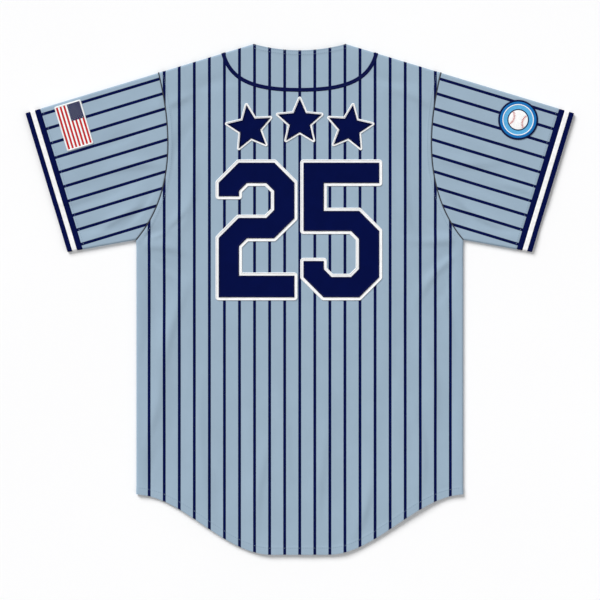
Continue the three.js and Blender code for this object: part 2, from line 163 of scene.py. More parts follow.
# Finer creases: middle, half-length, half-width, turn of the long way, depth as a share of the deepest,
# and bow as a share of the half-length. A depth below nought is a ridge.
CREASE_DEPTH = 1.7
RIDGE_HEIGHT = 2.4
CREASES = [
    # fanning out from the left underarm
    (-226, 108, 34, 5.5, 18, 1.2, 0.12),
    (-222, 84, 40, 6.5, -8, -1.0, -0.10),
    (-230, 60, 36, 6.0, -38, 1.3, 0.16),
    (-214, 46, 44, 7.0, -52, -0.9, 0.10),
    (-240, 22, 46, 6.0, -72, 1.1, -0.14),
    (-204, 120, 30, 5.5, 42, -0.9, 0.10),
    # down the left side
    (-246, -62, 52, 6.5, 84, 0.9, 0.12),
    (-208, -52, 70, 8.5, 76, -1.1, -0.10),
    (-190, -128, 78, 8.0, 86, 1.0, 0.08),
    (-228, -168, 58, 7.0, 80, -0.8, 0.14),
    (-160, -216, 84, 9.0, 92, -1.0, -0.06),
    (-238, -270, 44, 7.0, 72, 0.9, -0.16),
    (-128, -318, 50, 8.0, 98, 1.0, 0.12),
    (-94, -206, 88, 9.0, 94, 0.9, 0.05),
    (-66, -300, 70, 9.0, 82, -0.9, -0.08),
    # middle of the tail, over the placket
    (-22, -228, 92, 10.0, 95, -0.8, 0.05),
    (30, -300, 74, 9.5, 86, -0.9, -0.07),
    # down the right side
    (70, -236, 86, 9.0, 92, 1.0, 0.06),
    (106, -330, 52, 8.0, 76, -1.0, 0.12),
    (140, -196, 88, 8.5, 88, 1.1, -0.07),
    (196, -236, 60, 7.5, 96, -0.9, 0.14),
    (214, -128, 72, 8.0, 98, -1.0, 0.10),
    (244, -196, 50, 6.5, 92, 0.9, -0.12),
    (180, -44, 84, 8.5, 104, 1.0, 0.08),
    (240, -30, 48, 6.5, 104, -0.9, 0.12),
    # fanning out from the right underarm
    (240, 30, 40, 6.0, 70, 1.1, 0.14),
    (216, 40, 46, 7.0, 50, -1.0, -0.12),
    (230, 66, 36, 6.0, 34, 1.3, -0.14),
    (220, 92, 40, 6.5, 4, -1.0, 0.10),
    (208, 118, 32, 5.5, -30, 1.0, 0.12),
    # beside the number and over the shoulder blades
    (-190, 250, 44, 7.0, 62, 1.0, -0.12),
    (-172, 172, 60, 8.0, 80, -0.9, 0.10),
    (-196, 316, 36, 7.0, 24, -0.8, 0.16),
    (-140, 344, 42, 7.5, 12, 0.9, -0.10),
    (186, 246, 46, 7.0, 116, 1.0, 0.12),
    (170, 150, 62, 8.0, 98, -0.9, -0.10),
    (192, 320, 38, 7.0, -30, -0.8, -0.14),
    (132, 350, 40, 7.5, -14, 0.9, 0.12),
    # across the left sleeve
    (-256, 140, 34, 5.5, 52, 1.1, 0.12),
    (-284, 134, 42, 6.0, 30, -1.0, -0.10),
    (-300, 168, 50, 7.0, 24, 1.1, 0.12),
    (-268, 214, 40, 6.5, 8, -0.9, -0.12),
    (-290, 252, 38, 7.0, 22, 0.9, 0.10),
    (-356, 158, 40, 6.5, 16, -0.8, 0.14),
    (-330, 112, 38, 6.0, 6, 0.9, -0.12),
    # across the right sleeve
    (258, 138, 34, 5.5, -50, 1.1, -0.12),
    (288, 132, 42, 6.0, -32, -1.0, 0.10),
    (300, 172, 48, 7.0, -22, 1.1, -0.12),
    (266, 216, 40, 6.5, -6, -0.9, 0.12),
    (284, 262, 36, 7.0, -24, 0.9, -0.10),
    (352, 178, 40, 6.5, -18, -0.8, -0.14),
    (332, 110, 38, 6.0, -8, 0.9, 0.12),
]
# Low arches in the underside of the fronts and sleeves, as in TROUGHS. Their height is a share of the most.
ARCHES = [
    (-222, 74, 56, 7, 42, 1.0),
    (-206, 30, 70, 8, 64, 0.9),
    (-232, -60, 66, 8, 82, 0.8),
    (-182, -110, 96, 10, 88, 1.0),
    (-140, -220, 90, 10, 94, 0.9),
    (-216, -236, 64, 9, 80, 1.0),
    (-122, 40, 84, 10, 98, 0.8),
    (-132, 236, 60, 9, 72, 0.9),
    (-170, 318, 46, 8, 38, 0.8),
    (-288, 158, 62, 8, 24, 1.0),
    (-322, 236, 54, 9, 10, 0.9),
    (-352, 122, 40, 7, 18, 0.8),
    (216, 66, 60, 7, 132, 1.0),
    (228, 16, 62, 8, 112, 0.9),
    (190, -84, 92, 10, 98, 1.0),
    (236, -150, 58, 8, 90, 0.8),
    (136, -186, 96, 10, 86, 0.9),
    (206, -256, 62, 9, 102, 1.0),
    (124, 84, 80, 10, 82, 0.8),
    (138, 226, 62, 9, 108, 0.9),
    (176, 312, 44, 8, 140, 0.8),
    (284, 170, 60, 8, 154, 1.0),
    (326, 222, 56, 9, 168, 0.9),
    (356, 134, 38, 7, 160, 0.8),
]
LEVEL_FADE = 34.0
EDGE_FADE = 26.0
PLACKET_CLEAR = 0.8  # share of the free height over the placket that a trough may take
HEM_WAVE = 0.8
UNDERSIDE_LIFT = 1.8  # of the arches under the fronts and sleeves
BETWEEN = 0.45  # kept free between the two layers

# Distances of the net's lines from an edge, before they spread out evenly
NEAR_EDGE = np.array(
    [0, 0.08, 0.25, 0.5, 0.9, 1.5, 2.2, 3, 4, 5.2, 6.2, 7.2, 8.6, 10.4, 11.6, 12.4, 13.6, 16, 19, 22.5]
)
BACK_STEP = 3.7
FRONT_STEP = 6.5
SLEEVE_STEP = 3.6


def lerp(a, b, share):
    return a + (b - a) * share


def smooth(value, low, high):
    share = np.clip((value - low) / (high - low), 0, 1)
    return share * share * (3 - 2 * share)


def bell(distance, width):
    return np.exp(-((distance / width) ** 2))


def unit(vectors):
    return vectors / np.linalg.norm(vectors, axis=-1, keepdims=True)


def circle(count):
    """Even turns round a circle."""
    return 2 * math.pi * np.arange(count) / count


def polar(radius, turns):
    return np.stack([radius * np.cos(turns), radius * np.sin(turns)], -1)


def bezier(corners, share):
    share = np.asarray(share, float)[..., None]
    a, b, c, d = (np.array(corner, float) for corner in corners)
    back = 1 - share
    return a * back**3 + 3 * b * back**2 * share + 3 * c * back * share**2 + d * share**3


def shifted(path, aside):
    """A path of the plan, moved so far to its left."""
    tangent = unit(np.gradient(path, axis=0))
    return path + np.stack([-tangent[:, 1], tangent[:, 0]], -1) * aside


def travelled(path):
    """The distance gone at each point of a path."""
    return np.append(0, np.cumsum(np.linalg.norm(np.diff(path, axis=0), axis=1)))


def sampled_at(distances, gone, values):
    """The values at these distances, where each row of values belongs to a distance gone."""
    return np.stack([np.interp(distances, gone, column) for column in values.T], -1)


def both_halves(x, y):
    """Places of the left half and then the right half, from those of the right half inwards."""
    return np.concatenate([-x, x[..., -2::-1]], -1), np.concatenate([y, y[..., -2::-1]], -1)


# Outline

OUTWARDS = np.array([math.cos(SLOPE), -math.sin(SLOPE)])
DOWNWARDS = np.array([OUTWARDS[1], -OUTWARDS[0]])


def shoulder_line(x):
    return NECK_Y - math.tan(SLOPE) * (np.abs(x) - NECK_HALF)


def hem_y(x):
    share = np.clip((HALF_CHEST - np.abs(x)) / (HALF_CHEST - TAIL_FLAT), 0, 1)
    curve = lerp((1 - np.cos(math.pi * share)) / 2, share, TAIL_SLANT)
    return lerp(HEM_SIDE_Y, HEM_TAIL_Y, curve)


def hem_stretch(x):
    """Length of the hem for each millimetre across."""
    return np.hypot(1, hem_y(x + 0.5) - hem_y(x - 0.5))


def top_line(x, dip, power):
    """The shoulder, and between the shoulders a neckline that dips so far."""
    share = np.clip(np.abs(x) / NECK_HALF, 0, 1)
    return np.where(np.abs(x) > NECK_HALF, shoulder_line(x), NECK_Y - dip * (1 - share**2) ** power)


def back_top_y(x):
    return top_line(x, BACK_NECK_DIP, 1)


def front_top_y(x):
    return top_line(x, FRONT_NECK_DROP, 0.5)


NECK = np.array([NECK_HALF, NECK_Y])
ARMHOLE_TOP = np.array([ARMHOLE_TOP_X, shoulder_line(ARMHOLE_TOP_X)])
UNDERARM = np.array([HALF_CHEST, UNDERARM_Y])
CUFF_TOP = ARMHOLE_TOP + OUTWARDS * SLEEVE_TOP
CUFF_LOW = CUFF_TOP + DOWNWARDS * CUFF_WIDTH
UNDER_SEAM = unit(CUFF_LOW - UNDERARM)
ARMHOLE = [ARMHOLE_TOP, (202.8, 268.0), (200.8, 168.0), UNDERARM]
BEYOND_CUFF = 2.0
BEYOND_NECK = -0.002
FOLDS = [
    (np.array([HALF_CHEST, HEM_TAIL_Y]), UNDERARM),
    (UNDERARM, lerp(UNDERARM, CUFF_LOW, BEYOND_CUFF)),
    (lerp(NECK, CUFF_TOP, BEYOND_CUFF), lerp(NECK, CUFF_TOP, BEYOND_NECK)),
]


def badge_middle(side, along, inset):
    x, y = ARMHOLE_TOP + OUTWARDS * along + DOWNWARDS * inset
    return side * x, y


FLAG_MIDDLE = badge_middle(-1, FLAG["along"], FLAG["gap"] + FLAG["l"] / 2)
BADGE_MIDDLE = badge_middle(1, BADGE["along"], BADGE["gap"] + BADGE["radius"])

# Where something stiff is sewn on, the cloth stays level: middle and half sizes of a box, and its rounding
LEVEL = [
    (0, 110, 134, 112, 0),
    (0, 278, 124, 46, 0),
    (*FLAG_MIDDLE, 0, 0, FLAG["l"] / 2),
    (*BADGE_MIDDLE, 0, 0, BADGE["radius"]),
]


# Height of the cloth


def to_run(x, y, start, end):
    """Distance and way from places to the nearest point of a straight run, and the share along it."""
    run = end - start
    share = np.clip(((x - start[0]) * run[0] + (y - start[1]) * run[1]) / (run @ run), 0, 1)
    way = np.stack([start[0] + run[0] * share - x, start[1] + run[1] * share - y], -1)
    return np.linalg.norm(way, axis=-1), way, share


def near_fold(x, y):
    """Distance to the nearest fold, and the way out to it."""
    best = np.full(np.shape(x), np.inf)
    out = np.zeros(np.shape(x) + (2,))
    for start, end in FOLDS:
        distance, way, _ = to_run(np.abs(x), y, start, end)
        run = end - start
        way = np.where((distance < 1e-4)[..., None], np.array([run[1], -run[0]]), way)
        closer = distance < best
        best = np.where(closer, distance, best)
        out = np.where(closer[..., None], way, out)
    out = unit(out)
    out[..., 0] *= np.where(x < 0, -1.0, 1.0)
    return best, out


def near_armhole(x, y, table=bezier(ARMHOLE, np.linspace(0, 1, 81))):
    """Distance to the armhole seam, and how far along the seam from the shoulder."""
    best = np.full(np.shape(x), np.inf)
    along = np.zeros(np.shape(x))
    for start, end, gone in zip(table, table[1:], travelled(table)):
        distance, _, share = to_run(np.abs(x), y, start, end)
        along = np.where(distance < best, gone + share * np.linalg.norm(end - start), along)
        best = np.minimum(distance, best)
    return best, along


def along_and_across(x, y, middle_x, middle_y, turn):
    """Places from a middle, along and across a way that is turned by degrees."""
    cosine, sine = math.cos(math.radians(turn)), math.sin(math.radians(turn))
    x, y = x - middle_x, y - middle_y
    return x * cosine + y * sine, y * cosine - x * sine


def dents(x, y, rows):
    depth = 0
    for middle_x, middle_y, length, width, turn, deep in rows:
        along, across = along_and_across(x, y, middle_x, middle_y, turn)
        depth = depth + deep * bell(along, length) * bell(across, width)
    return depth


def creases(x, y):
    """Depth of the finer creases, steeper on one side, which end before a seam's own ripples."""
    depth = 0
    for middle_x, middle_y, length, width, turn, deep, bow in CREASES:
        along, across = along_and_across(x, y, middle_x, middle_y, turn)
        across = across - bow * along**2 / length
        width = width * np.where(across > 0, 1.6, 0.8)
        most = CREASE_DEPTH if deep > 0 else RIDGE_HEIGHT
        depth = depth + most * deep * bell(along, length) * bell(across, width)
    return depth * smooth(near_armhole(x, y)[0], 2, 12)


def ripple(along, pitch):
    """An uneven wave between -1 and 1 along a seam."""
    turn = 2 * math.pi * along / pitch
    return np.sin(turn + 1.9 * np.sin(turn / 3.7)) * (0.65 + 0.35 * np.sin(turn / 5.3 + 1))


def hem_waves(x, y):
    """The free edge of the tail lies a little uneven."""
    above = np.maximum(y - hem_y(x), 0)
    return HEM_WAVE * ripple(x + 0.4 * above + 300, 83) * bell(above, 55)


def front_height(x, plateau):
    return lerp(plateau, FRONT_Z, smooth(np.abs(x), PLACKET_FLAT, PLACKET_RAMP))


def back_height(x, y, fold_distance):
    depth = dents(x, y, TROUGHS) + creases(x, y) + hem_waves(x, y)
    share = smooth(fold_distance, FOLD_RADIUS, EDGE_FADE)
    for middle_x, middle_y, half_x, half_y, reach in LEVEL:
        beyond_x = np.maximum(np.abs(x - middle_x) - half_x, 0)
        beyond_y = np.maximum(np.abs(y - middle_y) - half_y, 0)
        share = share * smooth(np.hypot(beyond_x, beyond_y), reach, reach + LEVEL_FADE)
    free = PLACKET_CLEAR * (INNER_PLACKET_Z - front_height(x, INNER_PLACKET_Z))
    sunk = free * np.tanh(np.maximum(depth, 0) / np.maximum(free, 0.001))
    return BACK_Z - np.where(depth > 0, sunk, depth) * share


def underside_height(x, y, plateau, fold_distance):
    """Height of a front layer: it rests on the surface, but for some low arches between its creases."""
    arch = smooth(dents(x, y, ARCHES), 0, 1) * smooth(fold_distance, FOLD_RADIUS, EDGE_FADE)
    clear = smooth(near_armhole(x, y)[0], 2, 14) * smooth(np.abs(x), PLACKET_RAMP - 6, PLACKET_RAMP + 26)
    room = np.maximum(back_height(x, y, fold_distance) - FRONT_Z - CLOTH - BETWEEN, 0.01)
    return front_height(x, plateau) + room * np.tanh(UNDERSIDE_LIFT * arch * clear / room)


def puckers(height, along, pitch, distance, fade):
    """Small uneven ripples beside a seam."""
    return height * ripple(along, pitch) * np.exp(-np.maximum(distance, 0) / fade)


def relief(x, y, facing, on_sleeve, fold_distance):
    """How far seams and hems lift or sink the cloth, along its normal."""
    seam, along = near_armhole(x, y)
    lift = -SEAM_DIP * bell(seam, 1.3) * smooth(fold_distance, 0, 2.2)
    if facing < 0:
        return lift
    lift = lift + puckers(0.2, along, 13, seam, 8) * smooth(seam, 0, 3)
    if on_sleeve:
        from_cuff_top = np.stack([np.abs(x), y], -1) - CUFF_TOP
        band = -(from_cuff_top @ OUTWARDS) - BAND_WIDTH
        lift = lift + puckers(0.15, from_cuff_top @ DOWNWARDS + 5, 15, band, 8) * smooth(band, 0, 4)
        return lift - 0.5 * bell(band, 1.2)
    hem = (y - hem_y(x)) / hem_stretch(x)
    neck = back_top_y(x) - y
    turned = (1 - smooth(seam, ALLOWANCE + 1, ALLOWANCE + 2.6)) * smooth(seam, 0.6, 2)
    turned = turned + 1 - smooth(hem, HEM_DEPTH - 0.2, HEM_DEPTH + 1.4)
    turned = turned + (1 - smooth(neck, NECK_HEM + 0.6, NECK_HEM + 2)) * (np.abs(x) < NECK_HALF)
    stitch_dip = 0.22 * bell(hem - HEM_STITCHES, 0.8)
    return lift + TURNED * turned - stitch_dip + puckers(0.16, x + 40, 17, hem, 14)


def surface(x, y, facing, on_sleeve=False, plateau=FRONT_Z, seam=SEAM / 2):
    """Points and outward normals of a layer's middle at places of the plan."""
    x, y = np.broadcast_arrays(np.asarray(x, float), np.asarray(y, float))
    distance, out = near_fold(x, y)
    cosine = 1 - np.clip(distance / FOLD_RADIUS, 0, 1)
    sine = np.sqrt(1 - cosine**2)
    flat = back_height(x, y, distance) if facing > 0 else underside_height(x, y, plateau, distance)
    points = np.stack([x, y, lerp(FOLD_Z + facing * seam, flat, sine)], -1)
    normals = unit(np.stack([out[..., 0] * cosine, out[..., 1] * cosine, facing * sine], -1))
    return points + normals * relief(x, y, facing, on_sleeve, distance)[..., None], normals


def top_of(x, y, facing=1, above=0.0, **where):
    """Points on the outside of the cloth, and their normals."""
    points, normals = surface(x, y, facing, **where)
    return points + normals * (CLOTH / 2 + above), normals


# Meshes


def grid_faces(rows, columns, ring=False):
    i, j = np.meshgrid(np.arange(rows - 1), np.arange(columns if ring else columns - 1), indexing="ij")
    a = i * columns + j
    b = i * columns + (j + 1) % columns
    return np.stack([a, b, b + columns, a + columns], -1).reshape(-1, 4)


def tube_faces(rows, sides):
    """Faces of a closed tube: its wall, and a fan over each end."""
    fan = np.array([[0, k + 2, k + 1, 0] for k in range(sides - 2)])
    return np.concatenate([grid_faces(rows, sides, ring=True), fan, fan[:, ::-1] + (rows - 1) * sides])


def wall(points, normals, thickness=CLOTH, ring=False, bulge=SEAM / 2):
    """A closed wall on a net of points. Returns its points, faces, and 1 for each face inside."""
    rows, columns = points.shape[:2]
    count = rows * columns
    index = np.arange(count).reshape(rows, columns)
    away = np.zeros_like(points)
    away[0] = unit(points[0] - points[1])
    away[-1] = unit(points[-1] - points[-2])
    if ring:
        loops = [index[0], index[-1][::-1]]
    else:
        away[:, 0] = unit(points[:, 0] - points[:, 1])
        away[:, -1] = unit(points[:, -1] - points[:, -2])
        loops = [np.concatenate([index[0], index[1:, -1], index[-1, -2::-1], index[-2:0:-1, 0]])]
    half = normals * thickness / 2
    stack = [(points + half).reshape(-1, 3), (points - half).reshape(-1, 3)]
    rim = (points + away * bulge).reshape(-1, 3)
    outer = grid_faces(rows, columns, ring)
    faces = [outer, outer[:, ::-1] + count]
    base = 2 * count
    for loop in loops:
        middle = base + np.arange(len(loop))
        after, middle_after = np.roll(loop, -1), np.roll(middle, -1)
        faces.append(np.stack([after, loop, middle, middle_after], -1))
        faces.append(np.stack([middle_after, middle, loop + count, after + count], -1))
        stack.append(rim[loop])
        base += len(loop)
    inside = np.concatenate([np.full(len(part), int(k == 1)) for k, part in enumerate(faces)])
    return np.concatenate(stack), np.concatenate(faces), inside


def volume(points, faces):
    a, b, c, d = (points[faces[:, k]] for k in range(4))
    return float((a * np.cross(b, c)).sum() + (a * np.cross(c, d)).sum())


def plan_area(points, faces):
    """Area in square metres of a net seen from above, each face counted."""
    a, b, c, d = (points.reshape(-1, 3)[faces[:, k], :2] for k in range(4))
    first, second = c - a, d - b
    return float(np.abs(first[:, 0] * second[:, 1] - first[:, 1] * second[:, 0]).sum() / 2) * MM * MM


def linked(name, data):
    """A new object in the scene."""
    made = bpy.data.objects.new(name, data)
    bpy.context.scene.collection.objects.link(made)
    return made


class Parts:
    """Closed shells of quads that become one mesh, each with the index of its finish."""

    def __init__(self):
        self.points, self.faces, self.finishes, self.count = [], [], [], 0

    def add(self, points, faces, finish=0):
        points = np.asarray(points, float).reshape(-1, 3)
        faces = np.asarray(faces)
        if volume(points, faces) < 0:
            faces = faces[:, ::-1]
        self.points.append(points)
        self.faces.append(faces + self.count)
        self.finishes.append(np.broadcast_to(finish, len(faces)))
        self.count += len(points)

    def add_ring(self, net, finish):
        """Rows of closed loops, where the last row joins the first."""
        rows, columns = net.shape[:2]
        self.add(net, grid_faces(rows + 1, columns, ring=True) % (rows * columns), finish)

    def build(self, name, materials, slot, nodes=(), sharp=50):
        mesh = bpy.data.meshes.new(name)
        faces = [list(dict.fromkeys(face)) for face in np.concatenate(self.faces).tolist()]
        mesh.from_pydata((np.concatenate(self.points) * MM).tolist(), [], faces)
        for material in materials:
            mesh.materials.append(material)
        mesh.polygons.foreach_set("material_index", np.concatenate(self.finishes).astype(np.int32))
        mesh.shade_smooth()
        mesh.set_sharp_from_angle(angle=math.radians(sharp))
        mesh.update()
        piece = linked(name, mesh)
        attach(piece, "root")
        if nodes:
            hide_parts(*nodes)
        return piece


def panel(name, net, normals, materials, ring=False):
    """A panel of cloth in place of its node, and the area of its net."""
    parts = Parts()
    parts.add(*wall(net, normals, ring=ring))
    area = plan_area(net, grid_faces(*net.shape[:2], ring))
    return parts.build(f"{name}_panel", materials, "cloth", [name]), area


def stations(length, step, end=NEAR_EDGE):
    """Distances across a panel, close together at both edges."""
    steps = max(2, round((length - NEAR_EDGE[-1] - end[-1]) / step))
    middle = np.linspace(NEAR_EDGE[-1], length - end[-1], steps + 1)
    return np.concatenate([NEAR_EDGE[:-1], middle, length - end[-2::-1]])


# Body panels

SIDE_LENGTH = ARMHOLE_TOP[1] - HEM_SIDE_Y
ARMHOLE_TABLE = bezier(ARMHOLE, np.linspace(1, 0, 400))
NECKLINE_TURNS = np.radians([0, 5, 10, 16, 23, 31, 40, 50, 61, 72, 82, 90])


def half_width(rise):
    """Half the body's width at a height above the side of the hem."""
    y = HEM_SIDE_Y + rise
    at_armhole = np.interp(y, ARMHOLE_TABLE[:, 1], ARMHOLE_TABLE[:, 0]) - SEAM / 2
    return np.where(y > UNDERARM_Y, at_armhole, HALF_CHEST)


def top_x(inset, reach):
    """Where a column of the net meets the top edge."""
    return ARMHOLE_TOP_X - inset + (HALF_CHEST - ARMHOLE_TOP_X) * smooth(inset / reach, 0, 1)


def body_place(inset, rise, top_y, reach=HALF_CHEST):
    """Place on the right half of a body panel, so far in from its side and so far up from its hem.

    Lines of even inset run beside the side and armhole, and lines of even rise beside the hem and the
    top. In between they spread."""
    half = half_width(rise)
    x = half - inset + (HALF_CHEST - half) * smooth(inset / reach, 0, 1)
    hem_x = HALF_CHEST - inset
    hem = hem_y(hem_x)
    extra = (hem_stretch(hem_x) - 1) * rise * (1 - smooth(rise, HEM_DEPTH, 80))
    over = top_y(top_x(inset, reach)) - hem - SIDE_LENGTH
    return x, hem + rise + extra + over * smooth(rise / SIDE_LENGTH, 0, 1)


def body_rises(step):
    underarm = UNDERARM_Y - HEM_SIDE_Y
    near = underarm + np.array([-3, -1.5, 0, 0.01, 1, 2.2, 4, 6.5])
    rises = stations(SIDE_LENGTH, step)
    rises = rises[np.abs(rises - underarm - 2) > 6]
    return np.sort(np.concatenate([rises, near]))


def body_places(step, end, top_y, reach, tops):
    """Places of the net of half a body panel, with columns that reach these places of the top edge."""
    table = np.linspace(0, reach, 4000)
    at_tops = np.interp(-np.asarray(tops), -top_x(table, reach), table)
    insets = np.unique(np.concatenate([stations(reach, step, end), at_tops]))
    return body_place(*np.meshgrid(insets, body_rises(step)), top_y, reach)


def back_piece(materials):
    x, y = both_halves(*body_places(BACK_STEP, np.array([0.0]), back_top_y, HALF_CHEST, [NECK_HALF]))
    return panel("back", *surface(x, y, 1), materials)


def front_piece(side, name, plateau, materials):
    neckline = NECK_HALF * np.cos(NECKLINE_TURNS)
    x, y = body_places(FRONT_STEP, NEAR_EDGE[[0, 3, 5]], front_top_y, HALF_CHEST + PLACKET_HALF, neckline)
    return panel(name, *surface(side * x, y, -1, plateau=plateau), materials)


# Sleeves and their knit bands


def cuff_line(inset, share):
    """Places across a sleeve, so far in from its end, from the top fold to the underarm fold."""
    top = CUFF_TOP - OUTWARDS * inset
    low = CUFF_LOW - UNDER_SEAM * inset / (UNDER_SEAM @ OUTWARDS)
    return lerp(top, low, np.asarray(share)[..., None])


def around(side, place, shares):
    """The net of a sleeve: the back layer from the top fold to the underarm, then the front layer back."""
    layers = []
    for facing, plan in ((1, place(shares)), (-1, place(shares[-2:0:-1]))):
        layers.append(surface(side * plan[..., 0], plan[..., 1], facing, on_sleeve=True, seam=0))
    return [np.concatenate(both, 1) for both in zip(*layers)]


def sleeve_piece(side, hand, materials):
    length = SLEEVE_TOP - BAND_WIDTH
    along = stations(length, SLEEVE_STEP) / length

    def place(shares):
        gap = lerp(SEAM / 2, UNDERARM_GAP, shares**UNDERARM_GAP_POWER)
        away = lerp(OUTWARDS, UNDER_SEAM, shares[:, None])
        start = bezier(ARMHOLE, shares) + away * gap[:, None]
        return lerp(start[None], cuff_line(BAND_WIDTH, shares)[None], along[:, None, None])

    shares = stations(CUFF_WIDTH, SLEEVE_STEP) / CUFF_WIDTH
    return panel(f"sleeve_{hand}", *around(side, place, shares), materials, ring=True)


def cuff_piece(side, hand, name, inset, width, material, slot):
    """A knit stripe with fine ribs across it, a little crowned."""
    across = np.array([0, 0.07, 0.22, 0.5, 0.78, 0.93, 1])
    shares = np.linspace(0, 1, round(CUFF_WIDTH / RIB_PITCH * RIB_SAMPLES) + 1)

    def place(shares):
        return np.stack([cuff_line(inset + width * (1 - share), shares) for share in across])

    net, normals = around(side, place, shares)
    crown = BAND_CROWN * np.sqrt(1 - (2 * across - 1) ** 2) - 0.12
    ribs = RIB_HEIGHT * np.cos(2 * math.pi * np.arange(net.shape[1]) / RIB_SAMPLES)
    lift = crown[:, None] + ribs * np.sin(math.pi * across)[:, None]
    lift = np.where(normals[..., 2] < 0.2, np.minimum(lift, 0), lift)
    points, faces, _ = wall(net + normals * (lift / 2)[..., None], normals, CLOTH - 0.1, ring=True)
    parts = Parts()
    parts.add(points, faces)
    return parts.build(f"cuff_{hand}_{name}_band", [material], slot, [f"cuff_{hand}_{name}"])


# Braid round the neck

BRAID_HALF = [(1, 0.1), (0.94, 0.45), (0.78, 0.85), (0.5, 1), (0.22, 0.85), (0.06, 0.5)]  # place and height


def below_shoulder(line):
    """The part of a line from the shoulder fold on."""
    over = line[:, 1] - shoulder_line(line[:, 0])
    first = int(np.argmax(over <= 0))
    crossing = lerp(line[first - 1], line[first], over[first - 1] / (over[first - 1] - over[first]))
    return np.concatenate([crossing[None], line[first:]])


def braid_plan(across):
    """Places of the braid's lines, from the left shoulder to the right one."""
    shoulder = np.array([PIPING["half"], shoulder_line(PIPING["half"])])
    corners = [
        shoulder - DOWNWARDS * PIPING["width"],
        shoulder - (PIPING["lean"], PIPING["pull"]),
        (PIPING["level"], PIPING["low"]),
        (0.0, PIPING["low"]),
    ]
    middle = bezier(corners, np.linspace(0, 1, 420))
    rows = []
    for share in across:
        line = below_shoulder(shifted(middle, share * PIPING["width"] / 2))
        gone = travelled(line)
        rows.append(both_halves(*sampled_at(np.linspace(0, gone[-1], 260), gone, line).T))
    return np.array(rows).transpose(1, 0, 2)


def close_end(size, first):
    """Quads that close the end of a flat strip, pairing its upper points with its lower ones."""
    k = np.arange(size // 2 - 1)
    return np.stack([first + k, first + size - 1 - k, first + size - 2 - k, first + k + 1], -1)


def braid_piece(material):
    across, height = np.array([(-place, high) for place, high in BRAID_HALF] + BRAID_HALF[::-1]).T
    x, y = braid_plan(across)
    points, normals = top_of(x, y, above=0.06)
    columns, size = x.shape[1], 2 * len(across)
    slant, crown, ridge = 6.6, 0.85, 0.1  # the plait's strands lean back from the middle
    plait = np.sin(math.pi / 2 * (np.arange(columns) + slant * np.abs(across)[:, None]))
    lift = crown * height[:, None] * (1 + ridge * plait)
    net = np.concatenate([points + normals * lift[..., None], points[::-1]]).transpose(1, 0, 2)
    ends = [close_end(size, 0), close_end(size, (columns - 1) * size)[:, ::-1]]
    parts = Parts()
    parts.add(net, np.concatenate([grid_faces(columns, size, ring=True), *ends]))
    return parts.build("neck_braid", [material], "piping", ["neck_piping"], sharp=70)


# Outlines of twill pieces, anticlockwise


def numeral_two():
    w, h, s, foot, cut, c = (DIGIT[key] for key in ("w", "h", "stroke", "foot", "cut", "inner"))
    floor, waist, bowl, hook = 0.38 * h, 0.438 * h, 0.59 * h, 0.75 * h
    return [
        (0, 0), (w, 0), (w, foot), (s, foot), (s, floor), (s + c, waist), (w - s, waist), (w, waist + cut),
        (w, h - cut), (w - cut, h), (cut, h), (0, h - cut), (0, hook), (s, hook), (s, h - s - c),
        (s + c, h - s), (w - s - c, h - s), (w - s, h - s - c), (w - s, bowl + c), (w - s - c, bowl),
        (cut, bowl), (0, bowl - cut),
    ]  # fmt: skip


def numeral_five():
    w, h, s, cut, c = (DIGIT[key] for key in ("w", "h", "stroke", "cut", "inner"))
    under, over, hook = 0.492 * h, 0.642 * h, 0.27 * h
    return [
        (cut, 0), (w - cut, 0), (w, cut), (w, over - cut), (w - cut, over), (s, over), (s, h - s),
        (w, h - s), (w, h), (0, h), (0, under), (w - s - c, under), (w - s, under - c), (w - s, s + c),
        (w - s - c, s), (s + c, s), (s, s + c), (s, hook), (0, hook), (0, cut),
    ]  # fmt: skip


def star_corners(radius, waist=STAR_WAIST):
    reach = radius * np.array([1, waist] * 5)
    return polar(reach, circle(10) + math.pi / 2)


def ring_corners(radius, count=120):
    return polar(radius, circle(count))


def rounded_box(width, length, corner):
    x, y = width / 2 - corner, length / 2 - corner
    return widened([(-x, -y), (x, -y), (x, y), (-x, y)], corner)


def side_ways(corners):
    """The ways along the sides before and after each corner."""
    before = unit(corners - np.roll(corners, 1, 0))
    return before, np.roll(before, -1, 0)


def moved(corners, out):
    """An outline with each side moved out, or in if below nought, with sharp corners."""
    corners = np.asarray(corners, float)
    before, after = side_ways(corners)
    way = np.stack([before[:, 1] + after[:, 1], -before[:, 0] - after[:, 0]], -1)
    return corners + way * (out / (1 + (before * after).sum(1)))[:, None]


def widened(corners, border):
    """An outline moved out by the border, with arcs round its outer corners."""
    arc_step = math.pi / 16
    corners = np.asarray(corners, float)
    made = []
    for corner, mitre, a, b in zip(corners, moved(corners, border), *side_ways(corners)):
        bend = math.atan2(a[0] * b[1] - a[1] * b[0], float(a @ b))
        if bend < 0:
            made.append(mitre[None])
            continue
        turns = math.atan2(-a[0], a[1]) + np.linspace(0, bend, math.ceil(bend / arc_step) + 1)
        made.append(corner + polar(border, turns))
    return np.concatenate(made)


def placed(plan, x, y, turn=0.0):
    """Places moved and turned by degrees."""
    cosine, sine = math.cos(math.radians(turn)), math.sin(math.radians(turn))
    return np.asarray(plan, float) @ np.array([[cosine, sine], [-sine, cosine]]) + (x, y)


def side_steps(corners, step):
    """Number of even steps of about this length on each side."""
    sides = np.linalg.norm(np.roll(corners, -1, 0) - corners, axis=1)
    return np.maximum(1, np.round(sides / step)).astype(int)


def sampled(corners, counts):
    """Each side of a closed outline cut into its number of even steps."""
    rows = []
    for start, end, count in zip(corners, np.roll(corners, -1, 0), counts):
        rows.append(lerp(start, end, (np.arange(count) / count)[:, None]))
    return np.concatenate(rows)


